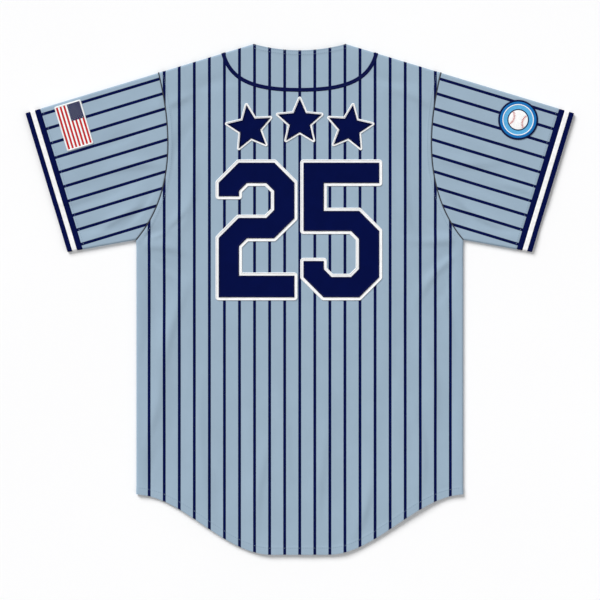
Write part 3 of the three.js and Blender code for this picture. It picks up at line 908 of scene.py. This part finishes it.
def inside_outline(plan, corners):
    """True for each place inside a closed outline."""
    x, y = plan.T
    found = np.zeros(len(plan), bool)
    for (x1, y1), (x2, y2) in zip(corners, np.roll(corners, -1, 0)):
        if y1 != y2:
            found ^= ((y1 > y) != (y2 > y)) & (x < x1 + (x2 - x1) * (y - y1) / (y2 - y1))
    return found


def to_outline(plan, corners):
    """Distance from places to the nearest side of a closed outline."""
    best = np.full(len(plan), np.inf)
    for start, end in zip(corners, np.roll(corners, -1, 0)):
        if np.any(start != end):
            best = np.minimum(best, to_run(*plan.T, start, end)[0])
    return best


# Plates, satin edges and bars of stitching

SATIN_PROFILE = [(0, 0), (0, 0.45), (0.1, 0.8), (0.32, 1), (0.68, 1), (0.9, 0.8), (1, 0.45), (1, 0)]


def raised(plan, height):
    """Places of the plan at one height, or each at its own."""
    return np.column_stack([plan, np.broadcast_to(height, len(plan))])


def satin_border(parts, corners, width, low, high, finish, ridge=0.14, facing=1):
    """A rounded border of side-by-side threads just inside an outline, from low to high."""
    corners = np.asarray(corners, float)
    counts = side_steps(corners, SATIN_PITCH / 2)
    thread = np.arange(counts.sum()) % 2 * 2.0 - 1
    net = []
    for inset, share in SATIN_PROFILE:
        height = lerp(low, high, share) + ridge * thread * share
        net.append(raised(sampled(moved(corners, -width * inset), counts), facing * height))
    parts.add_ring(np.array(net), finish)


def flat_plate(parts, corners, low, high, finish, step=0.0, lift=None):
    """A flat plate of any outline. A step adds inner places that far apart, for its top to be uneven."""
    rim = corners = np.asarray(corners, float)
    inner = np.zeros((0, 2))
    if step:
        rim = sampled(corners, side_steps(corners, step))
        spans = [np.arange(corners[:, k].min() + step / 2, corners[:, k].max(), step) for k in (0, 1)]
        grid = np.stack(np.meshgrid(*spans), -1).reshape(-1, 2)
        inner = grid[inside_outline(grid, corners) & (to_outline(grid, corners) > 0.55 * step)]
    ring = np.arange(len(rim))
    after = np.roll(ring, -1)
    loop = list(zip(ring.tolist(), after.tolist()))
    plan, _, triangles, *_ = delaunay_2d_cdt(np.concatenate([rim, inner]).tolist(), loop, [], 1, 1e-5)
    plan = np.array([place[:] for place in plan])
    top = np.array([(*triangle[:3], triangle[2]) for triangle in triangles])
    total = len(plan)
    points = np.concatenate([raised(plan, low), raised(plan, high + (lift(plan) if lift else 0))])
    sides = np.stack([ring, after, after + total, ring + total], -1)
    parts.add(points, np.concatenate([top[:, [2, 1, 0, 0]], sides, top + total]), finish)


def crowned_bar(parts, spans, base, height, finish, place, steps=(8, 2)):
    """A bar of stitching with a rounded top, over a box of a patch's own plan."""
    u, v = np.meshgrid(*(np.linspace(0, 1, count + 1) for count in steps))
    plan = place(np.stack([lerp(*spans[0], u), lerp(*spans[1], v)], -1))
    half = height / 2 * (0.25 + 0.75 * np.sqrt(np.clip(1 - (2 * u - 1) ** 2, 0, 1)))[..., None]
    points, faces, _ = wall(np.concatenate([plan, base + half], -1), half * [0, 0, 1], 2, bulge=0)
    parts.add(points, faces, finish)


# Thread

# Shape of a stitch, at shares of its length: its girth, and how high its middle lies
STITCH_PROFILE = [(0, 0.35, -0.5), (0.16, 0.85, 0.1), (0.5, 1, 0.35), (0.84, 0.85, 0.1), (1, 0.35, -0.5)]


def rings(middle, aside, up, half_width, half_height, turns):
    """Rings of places round each place of a path."""
    level = aside[..., None, :] * (np.cos(turns) * half_width)[..., None]
    upright = up[..., None, :] * (np.sin(turns) * half_height)[..., None]
    return middle[..., None, :] + level + upright


def stitches(parts, path, normals):
    """Stitches lying end to end along a path of points, each a small tapered bead."""
    shares, girth, rise = np.array(STITCH_PROFILE).T
    length, pitch, height = STITCH["length"], STITCH["pitch"], STITCH["height"]
    gone = travelled(path)
    distance = np.arange(pitch / 2, gone[-1] - length, pitch)[:, None] + shares * length
    up = unit(sampled_at(distance, gone, normals))
    ahead = unit(sampled_at(distance + 0.3, gone, path) - sampled_at(distance - 0.3, gone, path))
    middle = sampled_at(distance, gone, path) + up * (rise * height)[:, None]
    wide, high = girth[:, None] * STITCH["width"] / 2, girth[:, None] * height
    net = rings(middle, unit(np.cross(up, ahead)), up, wide, high, circle(6))
    count, rows, sides = net.shape[:3]
    first = (np.arange(count) * rows * sides)[:, None, None]
    parts.add(net, (tube_faces(rows, sides) + first).reshape(-1, 4))


def cord(parts, path, normals, radius, finish=0, sides=6, twist_pitch=0):
    """A closed tube along a path, with the ridges of a twist if it has one."""
    ahead = unit(np.gradient(path, axis=0))
    aside = unit(np.cross(normals, ahead))
    turns = circle(sides)
    size = np.full((len(path), sides), float(radius))
    if twist_pitch:
        size *= 1 + 0.16 * np.cos(2 * turns + 2 * math.pi * travelled(path)[:, None] / twist_pitch)
    net = rings(path, aside, np.cross(ahead, aside), size, size, turns)
    parts.add(net, tube_faces(len(path), sides), finish)


def sleeve_cord(parts, side):
    """A twisted cord along an armhole seam, over the back and then under the front."""
    shares = lerp(0.00002, 0.99998, (1 - np.cos(np.linspace(0, math.pi, 700))) / 2)
    x, y = bezier(ARMHOLE, shares).T
    layers = top_of(side * x, y), top_of(side * x[::-1], y[::-1], -1, above=-0.45)
    cord(parts, *(np.concatenate(both) for both in zip(*layers)), **SEAM_CORD)


def sewing(thread, slate):
    """Rows of stitches along the hem, neck, armholes, sleeve ends and placket."""
    light, dark = Parts(), Parts()

    def sew(x, y, facing=1, above=None, **where):
        sink = (-0.1 if facing > 0 else -0.25) if above is None else above
        stitches(light, *top_of(x, y, facing, above=sink, **where))

    for side in (-1, 1):
        x, y = shifted(bezier(ARMHOLE, np.linspace(0.012, 0.97, 220)), -ALLOWANCE).T
        band_x, band_y = cuff_line(BAND_WIDTH + 3.2, np.linspace(0.012, 0.988, 120)).T
        for facing in (1, -1):
            sew(side * x, y, facing)
            sew(side * band_x, band_y, facing, on_sleeve=True)
        sleeve_cord(dark, side)
    insets = np.linspace(2.6, HALF_CHEST, 300)
    sew(*both_halves(*body_place(insets, HEM_STITCHES, back_top_y)), above=-0.08)
    neck_x = np.linspace(-NECK_HALF - 1, NECK_HALF + 1, 120)
    for depth in (1.6, NECK_HEM):
        sew(neck_x, back_top_y(neck_x) - depth)
    for side, plateau in ((-1, OUTER_PLACKET_Z), (1, INNER_PLACKET_Z)):
        insets = np.linspace(2.6, HALF_CHEST + (PLACKET_HALF if side < 0 else 0), 300)
        x, y = body_place(insets, HEM_STITCHES, front_top_y, HALF_CHEST + PLACKET_HALF)
        sew(side * x, y, -1, plateau=plateau)
        turns = np.radians(np.linspace(2, 90 - 13 * side, 140))
        x, y = shifted(polar(1, turns) * (NECK_HALF, -FRONT_NECK_DROP) + (0, NECK_Y), NECK_HEM).T
        sew(side * x, y, -1, plateau=plateau)
    placket_y = np.linspace(HEM_TAIL_Y + 4, NECK_Y - FRONT_NECK_DROP - 4, 300)
    for x in (PLACKET_HALF - 2, 2 - PLACKET_HALF):
        sew(x, placket_y, -1, above=-0.12, plateau=OUTER_PLACKET_Z)
    light.build("topstitching", [thread], "cloth")
    dark.build("armhole_seams", [slate], "cloth")


# Materials

# Sockets of a mix node that hold colours
MIX_SHARE, MIX_FIRST, MIX_SECOND, MIX_RESULT = 0, 6, 7, 2


def linear(colour):
    """A colour as it looks, out of 255, as the light that a shader needs."""
    shares = np.array(colour, float) / 255
    return np.where(shares <= 0.04045, shares / 12.92, ((shares + 0.055) / 1.055) ** 2.4)


class Finish:
    """A node material with a few short ways to write its nodes."""

    def __init__(self, name, roughness, specular, sheen=0.0, coat=0.0):
        self.material = bpy.data.materials.new(name)
        self.material.use_nodes = True
        self.tree = self.material.node_tree
        self.shader = self.tree.nodes["Principled BSDF"]
        look = {"Roughness": roughness, "Specular IOR Level": specular, "Coat Weight": coat}
        look |= {"Sheen Weight": sheen, "Sheen Roughness": 0.45}
        for key, value in look.items():
            self.shader.inputs[key].default_value = value
        self.place = self.add("ShaderNodeTexCoord").outputs["Object"]

    def put(self, socket, value):
        if isinstance(value, bpy.types.NodeSocket):
            self.tree.links.new(value, socket)
        else:
            socket.default_value = value

    def add(self, kind, inputs=(), **settings):
        node = self.tree.nodes.new(kind)
        for key, value in settings.items():
            setattr(node, key, value)
        for key, value in dict(inputs).items():
            self.put(node.inputs[key], value)
        return node

    def math(self, operation, *values):
        return self.add("ShaderNodeMath", dict(enumerate(values)), operation=operation).outputs[0]

    def plus(self, first, second):
        return self.math("ADD", first, second)

    def times(self, first, second):
        return self.math("MULTIPLY", first, second)

    def along(self, axis, origin=(0, 0, 0)):
        """Distance in millimetres along an axis from an origin, at each place."""
        way = self.add("ShaderNodeVectorMath", {0: self.place, 1: origin}, operation="SUBTRACT")
        inputs = {0: way.outputs[0], 1: [value / MM for value in axis]}
        return self.add("ShaderNodeVectorMath", inputs, operation="DOT_PRODUCT").outputs["Value"]

    def smooth_range(self, value, low, high, low_to=0.0, high_to=1.0):
        inputs = {"Value": value, "From Min": low, "From Max": high, "To Min": low_to, "To Max": high_to}
        return self.add("ShaderNodeMapRange", inputs, interpolation_type="SMOOTHSTEP").outputs["Result"]

    def noise(self, size):
        inputs = {"Vector": self.place, "Scale": 1 / (size * MM), "Detail": 2.0}
        return self.add("ShaderNodeTexNoise", inputs).outputs["Fac"]

    def wave(self, value, pitch):
        return self.math("SINE", self.times(value, 2 * math.pi / pitch))

    def mix(self, share, first, second):
        inputs = {MIX_SHARE: share, MIX_FIRST: first, MIX_SECOND: second}
        return self.add("ShaderNodeMix", inputs, data_type="RGBA").outputs[MIX_RESULT]

    def uneven(self, colour, size, amount):
        """A colour that drifts a little lighter and darker over places of about this size."""
        light = linear(colour)
        low, high = ((*np.minimum(light * drift, 1).tolist(), 1.0) for drift in (1 - amount, 1 + amount))
        return self.mix(self.smooth_range(self.noise(size), 0.3, 0.7), low, high)

    def colour(self, value):
        self.put(self.shader.inputs["Base Color"], value)

    def paint(self, *uneven_colour):
        self.colour(self.uneven(*uneven_colour))

    def bump(self, height, strength, distance):
        inputs = {"Height": height, "Strength": strength, "Distance": distance * MM}
        self.put(self.shader.inputs["Normal"], self.add("ShaderNodeBump", inputs).outputs["Normal"])


def knit_height(finish, across, along):
    """Small V-shaped stitches in columns."""
    wale, course = 1.0, 0.8
    lean = finish.times(finish.math("PINGPONG", across, wale / 2), 0.9)
    rows = finish.wave(finish.plus(along, lean), course)
    columns = finish.math("ABSOLUTE", finish.wave(across, 2 * wale))
    return finish.plus(finish.times(rows, 0.5), columns)


def cloth_finish(name, across_axis, along_axis, origin=(0, 0, 0), inside=False):
    """Double-knit polyester with pinstripes. The inside is paler, and its stripes show through."""
    finish = Finish(name, roughness=0.85, sheen=0.02, specular=0.05)
    across, along = finish.along(across_axis, origin), finish.along(along_axis, origin)
    from_stripe = finish.math("PINGPONG", across, STRIPE_PITCH / 2)
    ragged = finish.times(finish.math("SUBTRACT", finish.noise(1.6), 0.5), 0.35)
    half = STRIPE_WIDTH / 2
    stripe = finish.smooth_range(finish.plus(from_stripe, ragged), half - 0.22, half + 0.22, 1.0, 0.0)
    ground = (INSIDE, 40, 0.02) if inside else (SKY, 46, 0.018)
    if inside:
        stripe = finish.times(stripe, 0.55)
    finish.colour(finish.mix(stripe, finish.uneven(*ground), finish.uneven(NAVY, 9, 0.12)))
    finish.bump(knit_height(finish, across, along), 0.35, 0.16)
    return finish.material


def knit_band_finish(name, colour, across_axis):
    finish = Finish(name, roughness=0.88, sheen=0.02, specular=0.04)
    finish.paint(colour, 5, 0.07)
    finish.bump(finish.plus(finish.wave(finish.along(across_axis), 0.9), finish.noise(0.7)), 0.4, 0.15)
    return finish.material


def twill_finish(name, colour):
    """Tackle twill: a tight diagonal weave with a satin look."""
    finish = Finish(name, roughness=0.5, sheen=0.005, specular=0.03)
    finish.paint(colour, 22, 0.05)
    ribs = finish.wave(finish.along((0.82, 0.57, 0)), 0.62)
    picks = finish.times(finish.wave(finish.along((0.57, -0.82, 0)), 0.8), 0.35)
    finish.bump(finish.plus(ribs, picks), 0.35, 0.12)
    return finish.material


def satin_finish(name, colour, roughness=0.42):
    """Shiny embroidery thread."""
    finish = Finish(name, roughness=roughness, sheen=0.01, specular=0.1)
    finish.paint(colour, 2.2, 0.06)
    finish.bump(finish.noise(0.5), 0.3, 0.08)
    return finish.material


def stitched_finish(name, colour, axis):
    """A field filled with close parallel threads along an axis."""
    finish = Finish(name, roughness=0.46, sheen=0.01, specular=0.06)
    finish.paint(colour, 3, 0.06)
    uneven_place = finish.plus(finish.along(axis), finish.times(finish.noise(6), 0.5))
    finish.bump(finish.wave(uneven_place, 0.5), 0.5, 0.1)
    return finish.material


def braid_finish():
    finish = Finish("piping_braid", roughness=0.6, sheen=0.01, specular=0.06)
    finish.paint(NAVY, 2, 0.1)
    finish.bump(finish.noise(0.6), 0.4, 0.1)
    return finish.material


def button_finish():
    finish = Finish("button_plastic", roughness=0.28, specular=0.5, coat=0.2)
    finish.paint(BUTTON_NAVY, 5, 0.1)
    finish.bump(finish.noise(2.5), 0.05, 0.05)
    return finish.material


def floor_finish():
    finish = Finish("floor_paint", roughness=0.9, specular=0.1)
    finish.paint(FLOOR, 400, 0.004)
    return finish.material


# Sewn-on pieces. Each layer reaches a little into the one below.

SUNK = 0.1
LOWER_BASE = BACK_Z + CLOTH / 2
LOWER_TOP = 6.75
UPPER_TOP = 7.5
PATCH_TOP = 6.7
EDGE_RISE = 0.45  # how far a satin edge stands above its twill
PATCH_EDGE_RISE = 0.65


def waves(plan, size):
    """Uneven waves over the plan, between about -1 and 1."""
    x, y = (plan * 2 * math.pi / size).T
    broad = np.sin(0.61 * x + 0.35 * y + 1.3) * np.sin(0.29 * x - 0.7 * y + 0.4)
    return 0.6 * broad + 0.4 * np.sin(1.2 * x + 0.5 * np.sin(0.8 * y)) * np.sin(1.05 * y + 2.1)


def twill_piece(name, corners, low, high, width, finishes, slot):
    """A twill shape, puckered a little beside its satin-stitched edge."""
    field = moved(corners, -0.4 * width)

    def pucker(plan):
        edge = np.exp(-to_outline(plan, field) / 7)
        return 0.1 * waves(plan, 24) + 0.14 * waves(plan, 9) * edge - 0.1

    parts = Parts()
    flat_plate(parts, field, low, high, 0, step=2.6, lift=pucker)
    satin_border(parts, corners, width, low, high + EDGE_RISE, 1)
    return parts.build(f"{name}_twill", finishes, slot, [name])


def twill_pair(name, corners, border, place, finishes):
    """A navy shape on a white one that shows round it."""
    layers = [
        ("white", widened(corners, border), LOWER_BASE, LOWER_TOP, 2.0),
        ("navy", corners, LOWER_TOP, UPPER_TOP, 2.4),
    ]
    pieces = []
    for (tone, outline, base, top, width), pair in zip(layers, finishes):
        outline, slot = placed(outline, *place), f"{tone}_twill"
        pieces.append(twill_piece(f"{name}_{tone}", outline, base - SUNK, top, width, pair, slot))
    return pieces


def flag_piece():
    """An embroidered flag: thirteen stripes down its length, and a canton of fifty stars at the top."""
    base, border, low = LOWER_BASE - SUNK, 2.6, PATCH_TOP - 0.05

    def place(plan):
        return placed(plan, *FLAG_MIDDLE, math.degrees(SLOPE))

    parts = Parts()
    outline = place(rounded_box(FLAG["w"], FLAG["l"], FLAG["corner"]))
    flat_plate(parts, moved(outline, -0.5), base, PATCH_TOP, 0)
    satin_border(parts, outline, border, base, PATCH_TOP + PATCH_EDGE_RISE, 0, ridge=0.16)
    half, end = FLAG["w"] / 2 - border + SUNK, FLAG["l"] / 2 - border + SUNK
    pitch = 2 * half / 13
    beside = 6  # stripes beside the canton
    canton_left, canton_low = beside * pitch - half, end - FLAG["canton"]
    for k in range(13):
        left = k * pitch - half
        spans = (left, left + pitch), (-end, end if k < beside else canton_low)
        crowned_bar(parts, spans, low, 0.3, 1 + k % 2, place)
    spans = (canton_left, half), (canton_low, end)
    crowned_bar(parts, spans, low, 0.32, 3, place, steps=(12, 8))
    star = star_corners(0.7, waist=0.42) @ np.array([[0, -1], [1, 0]])
    for row in range(9):
        for column in range(6 - row % 2):
            x = lerp(canton_left, half, (row + 1) / 10)
            y = lerp(canton_low, end, (2 * column + 1 + row % 2) / 12)
            flat_plate(parts, place(star + (x, y)), PATCH_TOP + 0.15, PATCH_TOP + 0.4, 0)
    across = (math.sin(SLOPE), -math.cos(SLOPE), 0)
    finishes = [
        satin_finish("flag_white_thread", WHITE),
        stitched_finish("flag_red_fill", RED, across),
        stitched_finish("flag_white_fill", WHITE, across),
        stitched_finish("flag_canton_fill", CANTON, across),
    ]
    return parts.build("flag_patch_embroidery", finishes, "embroidery", ["flag_patch"])


def ball_rise(distance):
    """Height of the stitched ball above its field, at a distance from its middle."""
    return 0.55 * np.sqrt(np.clip(1 - (distance / BALL_RADIUS) ** 2, 0, 1))


def ball_seam(parts, side, place):
    """One red seam of the ball, with its slanting stitches."""
    sweep, radius, aside = 46, 14.4, 21.5  # of the seam's circle, whose middle is beside the ball
    turns = np.radians(np.linspace(-sweep, sweep, 40) + (180 if side > 0 else 0))
    seam = polar(radius, turns) + (side * aside, 0)
    rise = PATCH_TOP + 0.12 + ball_rise(np.linalg.norm(seam, axis=1))
    up = np.tile([0.0, 0.0, 1.0], (len(seam), 1))
    cord(parts, raised(place(seam), rise), up, 0.3, 4)
    reach, slant = 2.1, 1.1  # of a stitch beside the seam and along it
    for k in range(3, 38, 4):
        ahead = unit(seam[k] - seam[k - 1])
        for hand in (-1, 1):
            tip = seam[k] + hand * reach * np.array([-ahead[1], ahead[0]]) + ahead * slant
            ends = place(np.array([seam[k], (seam[k] + tip) / 2, tip]))
            cord(parts, raised(ends, rise[k] + np.array([0.05, 0.14, -0.05])), up[:3], 0.24, 4, sides=5)


def badge_piece():
    """A plain round badge: a stitched ball on a light blue field with a deeper blue rim."""

    def place(plan):
        return placed(plan, *BADGE_MIDDLE, -math.degrees(SLOPE))

    parts = Parts()
    base, radius = LOWER_BASE - SUNK, BADGE["radius"]
    flat_plate(parts, place(ring_corners(radius - 1, 72)), base, PATCH_TOP, 0)
    satin_border(parts, place(ring_corners(radius)), 3.0, base, PATCH_TOP + PATCH_EDGE_RISE, 1, ridge=0.16)
    for radius, width, rise, finish, ridge in BADGE_RINGS:
        outline = place(ring_corners(radius))
        satin_border(parts, outline, width, PATCH_TOP - SUNK, PATCH_TOP + rise, finish, ridge)
    ball = ring_corners(BALL_RADIUS, 96)
    shares = np.array([1, 0.97, 0.85, 0.65, 0.4, 0.15])
    heights = PATCH_TOP + 0.1 + ball_rise(BALL_RADIUS * shares)
    net = [raised(place(ball), PATCH_TOP - SUNK)]
    net += [raised(place(ball * share), height) for share, height in zip(shares, heights)]
    parts.add(net, tube_faces(len(net), len(ball)), 3)
    for side in (-1, 1):
        ball_seam(parts, side, place)
    finishes = [
        stitched_finish("badge_blue_fill", BADGE_BLUE, (0.3, 1, 0)),
        satin_finish("badge_navy_thread", NAVY),
        satin_finish("badge_deep_blue_thread", BADGE_DEEP_BLUE),
        satin_finish("badge_white_thread", WHITE),
        satin_finish("badge_red_thread", RED),
    ]
    return parts.build("round_badge_embroidery", finishes, "embroidery", ["sleeve_badge"])


# Buttons and buttonholes


def holed_plate(parts, outline, holes, low, high):
    """A flat plate with holes through it."""
    maker = bmesh.new()
    levels = []
    for level in (low, high):
        loops = [[maker.verts.new((*place, level)) for place in loop] for loop in (outline, *holes)]
        edges = [maker.edges.new((loop[k - 1], loop[k])) for loop in loops for k in range(len(loop))]
        bmesh.ops.triangle_fill(maker, edges=edges, use_beauty=True)
        levels.append(loops)
    for lower, upper in zip(*levels):
        for k in range(len(lower)):
            maker.faces.new([lower[k - 1], lower[k], upper[k], upper[k - 1]])
    bmesh.ops.recalc_face_normals(maker, faces=maker.faces)
    maker.verts.index_update()
    points = [vert.co[:] for vert in maker.verts]
    faces = [[vert.index for vert in face.verts] for face in maker.faces]
    maker.free()
    parts.add(points, [(*face, face[-1])[:4] for face in faces])


def button_piece(index, y, plastic, thread):
    """A four-hole button with a raised rim, facing down, sewn on through its holes."""
    parts = Parts()
    middle = (0, y)
    rim = [raised(ring_corners(radius, 64) + middle, z) for radius, z in BUTTON_PROFILE]
    parts.add_ring(np.array(rim), 0)
    reach = BUTTON_HOLE_OUT * math.cos(math.pi / 4)
    corners = [(reach, reach), (-reach, reach), (-reach, -reach), (reach, -reach)]
    holes = [ring_corners(BUTTON_HOLE, 14) + middle + corner for corner in corners]
    plate = ring_corners(BUTTON_PLATE["radius"], 64) + middle
    holed_plate(parts, plate, holes, BUTTON_PLATE["low"], BUTTON_PLATE["high"])
    # Four threads, each from one hole to another below the plate
    thick = 0.33
    ys = y + reach * np.array([-1, -1, -0.55, 0, 0.55, 1, 1])
    zs = np.array([1.7, 0.85, 0.52, 0.44, 0.52, 0.85, 1.7])
    for aside in (-0.36, 0.36):
        for x in (-reach, reach):
            path = np.column_stack([np.full(7, x + aside), ys, zs])
            cord(parts, path, np.tile([1.0, 0.0, 0.0], (7, 1)), thick, 1)
    return parts.build(f"button_{index}_sewn", [plastic, thread], "button", [f"button_{index}"], sharp=35)


def buttonholes(thread):
    """Satin-stitched slits in the outer placket, one under each button."""
    parts = Parts()
    low = CLOTH / 2 - OUTER_PLACKET_Z - SUNK
    for y in BUTTON_YS:
        slit = placed(rounded_box(SLIT["w"], SLIT["l"], SLIT["corner"]), 0, y)[::-1]
        satin_border(parts, slit, SLIT["edge"], low, SLIT["high"], 0, ridge=0.04, facing=-1)
    return parts.build("buttonholes", [thread], "cloth")


# The whole jersey


def sleeve_axes(side):
    """Ways across and along the pinstripes of a sleeve, and a place on its first stripe."""
    across = (side * DOWNWARDS[0], DOWNWARDS[1], 0.0)
    along = (side * OUTWARDS[0], OUTWARDS[1], 0.0)
    x, y = (ARMHOLE_TOP + DOWNWARDS * SLEEVE_FIRST_STRIPE) * MM
    return across, along, (side * x, y, 0.0)


def whole_sleeve(side, hand):
    """A sleeve, the area of its net, and its knit bands."""
    axes = sleeve_axes(side)
    finishes = [
        cloth_finish(f"pinstripe_sleeve_{hand}", *axes),
        cloth_finish(f"pinstripe_sleeve_{hand}_inside", *axes, inside=True),
    ]
    sleeve, area = sleeve_piece(side, hand, finishes)
    bands, inset = [], 0.0
    for name, width, tone in CUFF_STRIPES:
        finish = knit_band_finish(f"knit_{hand}_{name}", NAVY if tone == "navy" else WHITE, axes[1])
        bands.append(cuff_piece(side, hand, name, inset, width, finish, f"{tone}_knit"))
        inset += width + SEAM
    return sleeve, area, bands


def number_and_stars():
    twills = [
        (twill_finish("twill_white", WHITE), satin_finish("edge_thread_white", WHITE)),
        (twill_finish("twill_navy", NAVY), satin_finish("edge_thread_navy", NAVY)),
    ]
    x, y = DIGITS_TOP[0], DIGITS_TOP[1] - DIGIT["h"]
    half_gap = DIGIT["gap"] / 2
    sewn = twill_pair("numeral_2", numeral_two(), DIGIT_BORDER, (x - half_gap - DIGIT["w"], y), twills)
    sewn += twill_pair("numeral_5", numeral_five(), DIGIT_BORDER, (x + half_gap, y), twills)
    for k, place in enumerate(STARS):
        sewn += twill_pair(f"star_{k + 1}", star_corners(STAR_RADIUS), STAR_BORDER, place, twills)
    return sewn


def jersey():
    upright, level = (1.0, 0.0, 0.0), (0.0, 1.0, 0.0)
    body = [
        cloth_finish("pinstripe_body", upright, level),
        cloth_finish("pinstripe_body_inside", upright, level, inside=True),
    ]
    thread = satin_finish("matching_thread", THREAD, 0.55)
    slate = satin_finish("seam_thread", SLATE, 0.6)
    back, back_area = back_piece(body)
    fronts = [
        front_piece(-1, "front_left", OUTER_PLACKET_Z, body),
        front_piece(1, "front_right", INNER_PLACKET_Z, body),
    ]
    sleeves = [whole_sleeve(-1, "left"), whole_sleeve(1, "right")]
    sewn = [braid_piece(braid_finish()), *number_and_stars()]
    patches = [flag_piece(), badge_piece()]
    sewing(thread, slate)
    plastic = button_finish()
    for k, y in enumerate(BUTTON_YS):
        button_piece(k + 1, y, plastic, thread)
    buttonholes(thread)

    armhole = float(travelled(bezier(ARMHOLE, np.linspace(0, 1, 200)))[-1])
    for (sleeve, area, bands), patch in zip(sleeves, patches):
        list(bands)


# Floor, light and camera


def stage():
    reach = 6.0
    mesh = bpy.data.meshes.new("floor")
    corners = [(-reach, -reach, 0), (reach, -reach, 0), (reach, reach, 0), (-reach, reach, 0)]
    mesh.from_pydata(corners, [], [(0, 1, 2, 3)])
    mesh.materials.append(floor_finish())
    floor = linked("floor", mesh)
    floor.location.z = -0.0002


def lights():
    scene = bpy.context.scene
    scene.world = bpy.data.worlds.new("studio")
    scene.world.use_nodes = True
    background = scene.world.node_tree.nodes["Background"]
    background.inputs["Color"].default_value = (1.0, 1.0, 1.0, 1.0)
    background.inputs["Strength"].default_value = 0.34
    scene.view_settings.view_transform = "Standard"
    for name, turns, strength, spread in (
        ("key", (54, 0, 215), 3.05, 30),
        ("fill", (50, 0, 60), 0.5, 50),
    ):
        lamp = bpy.data.lights.new(name, "SUN")
        lamp.energy = strength
        lamp.angle = math.radians(spread)
        linked(name, lamp).rotation_euler = [math.radians(turn) for turn in turns]


def camera():
    """Straight down on the laid garment, from far enough that it looks flat."""
    seen, lens, sensor = 0.96, 120.0, 36.0
    data = bpy.data.cameras.new("camera")
    data.lens, data.sensor_width = lens, sensor
    data.clip_start, data.clip_end = 0.1, 20.0
    holder = linked("camera", data)
    holder.location = (0.0004, -0.0012, BACK_Z * MM + seen * lens / sensor)
    bpy.context.scene.camera = holder


camera()
stage()
lights()
jersey()
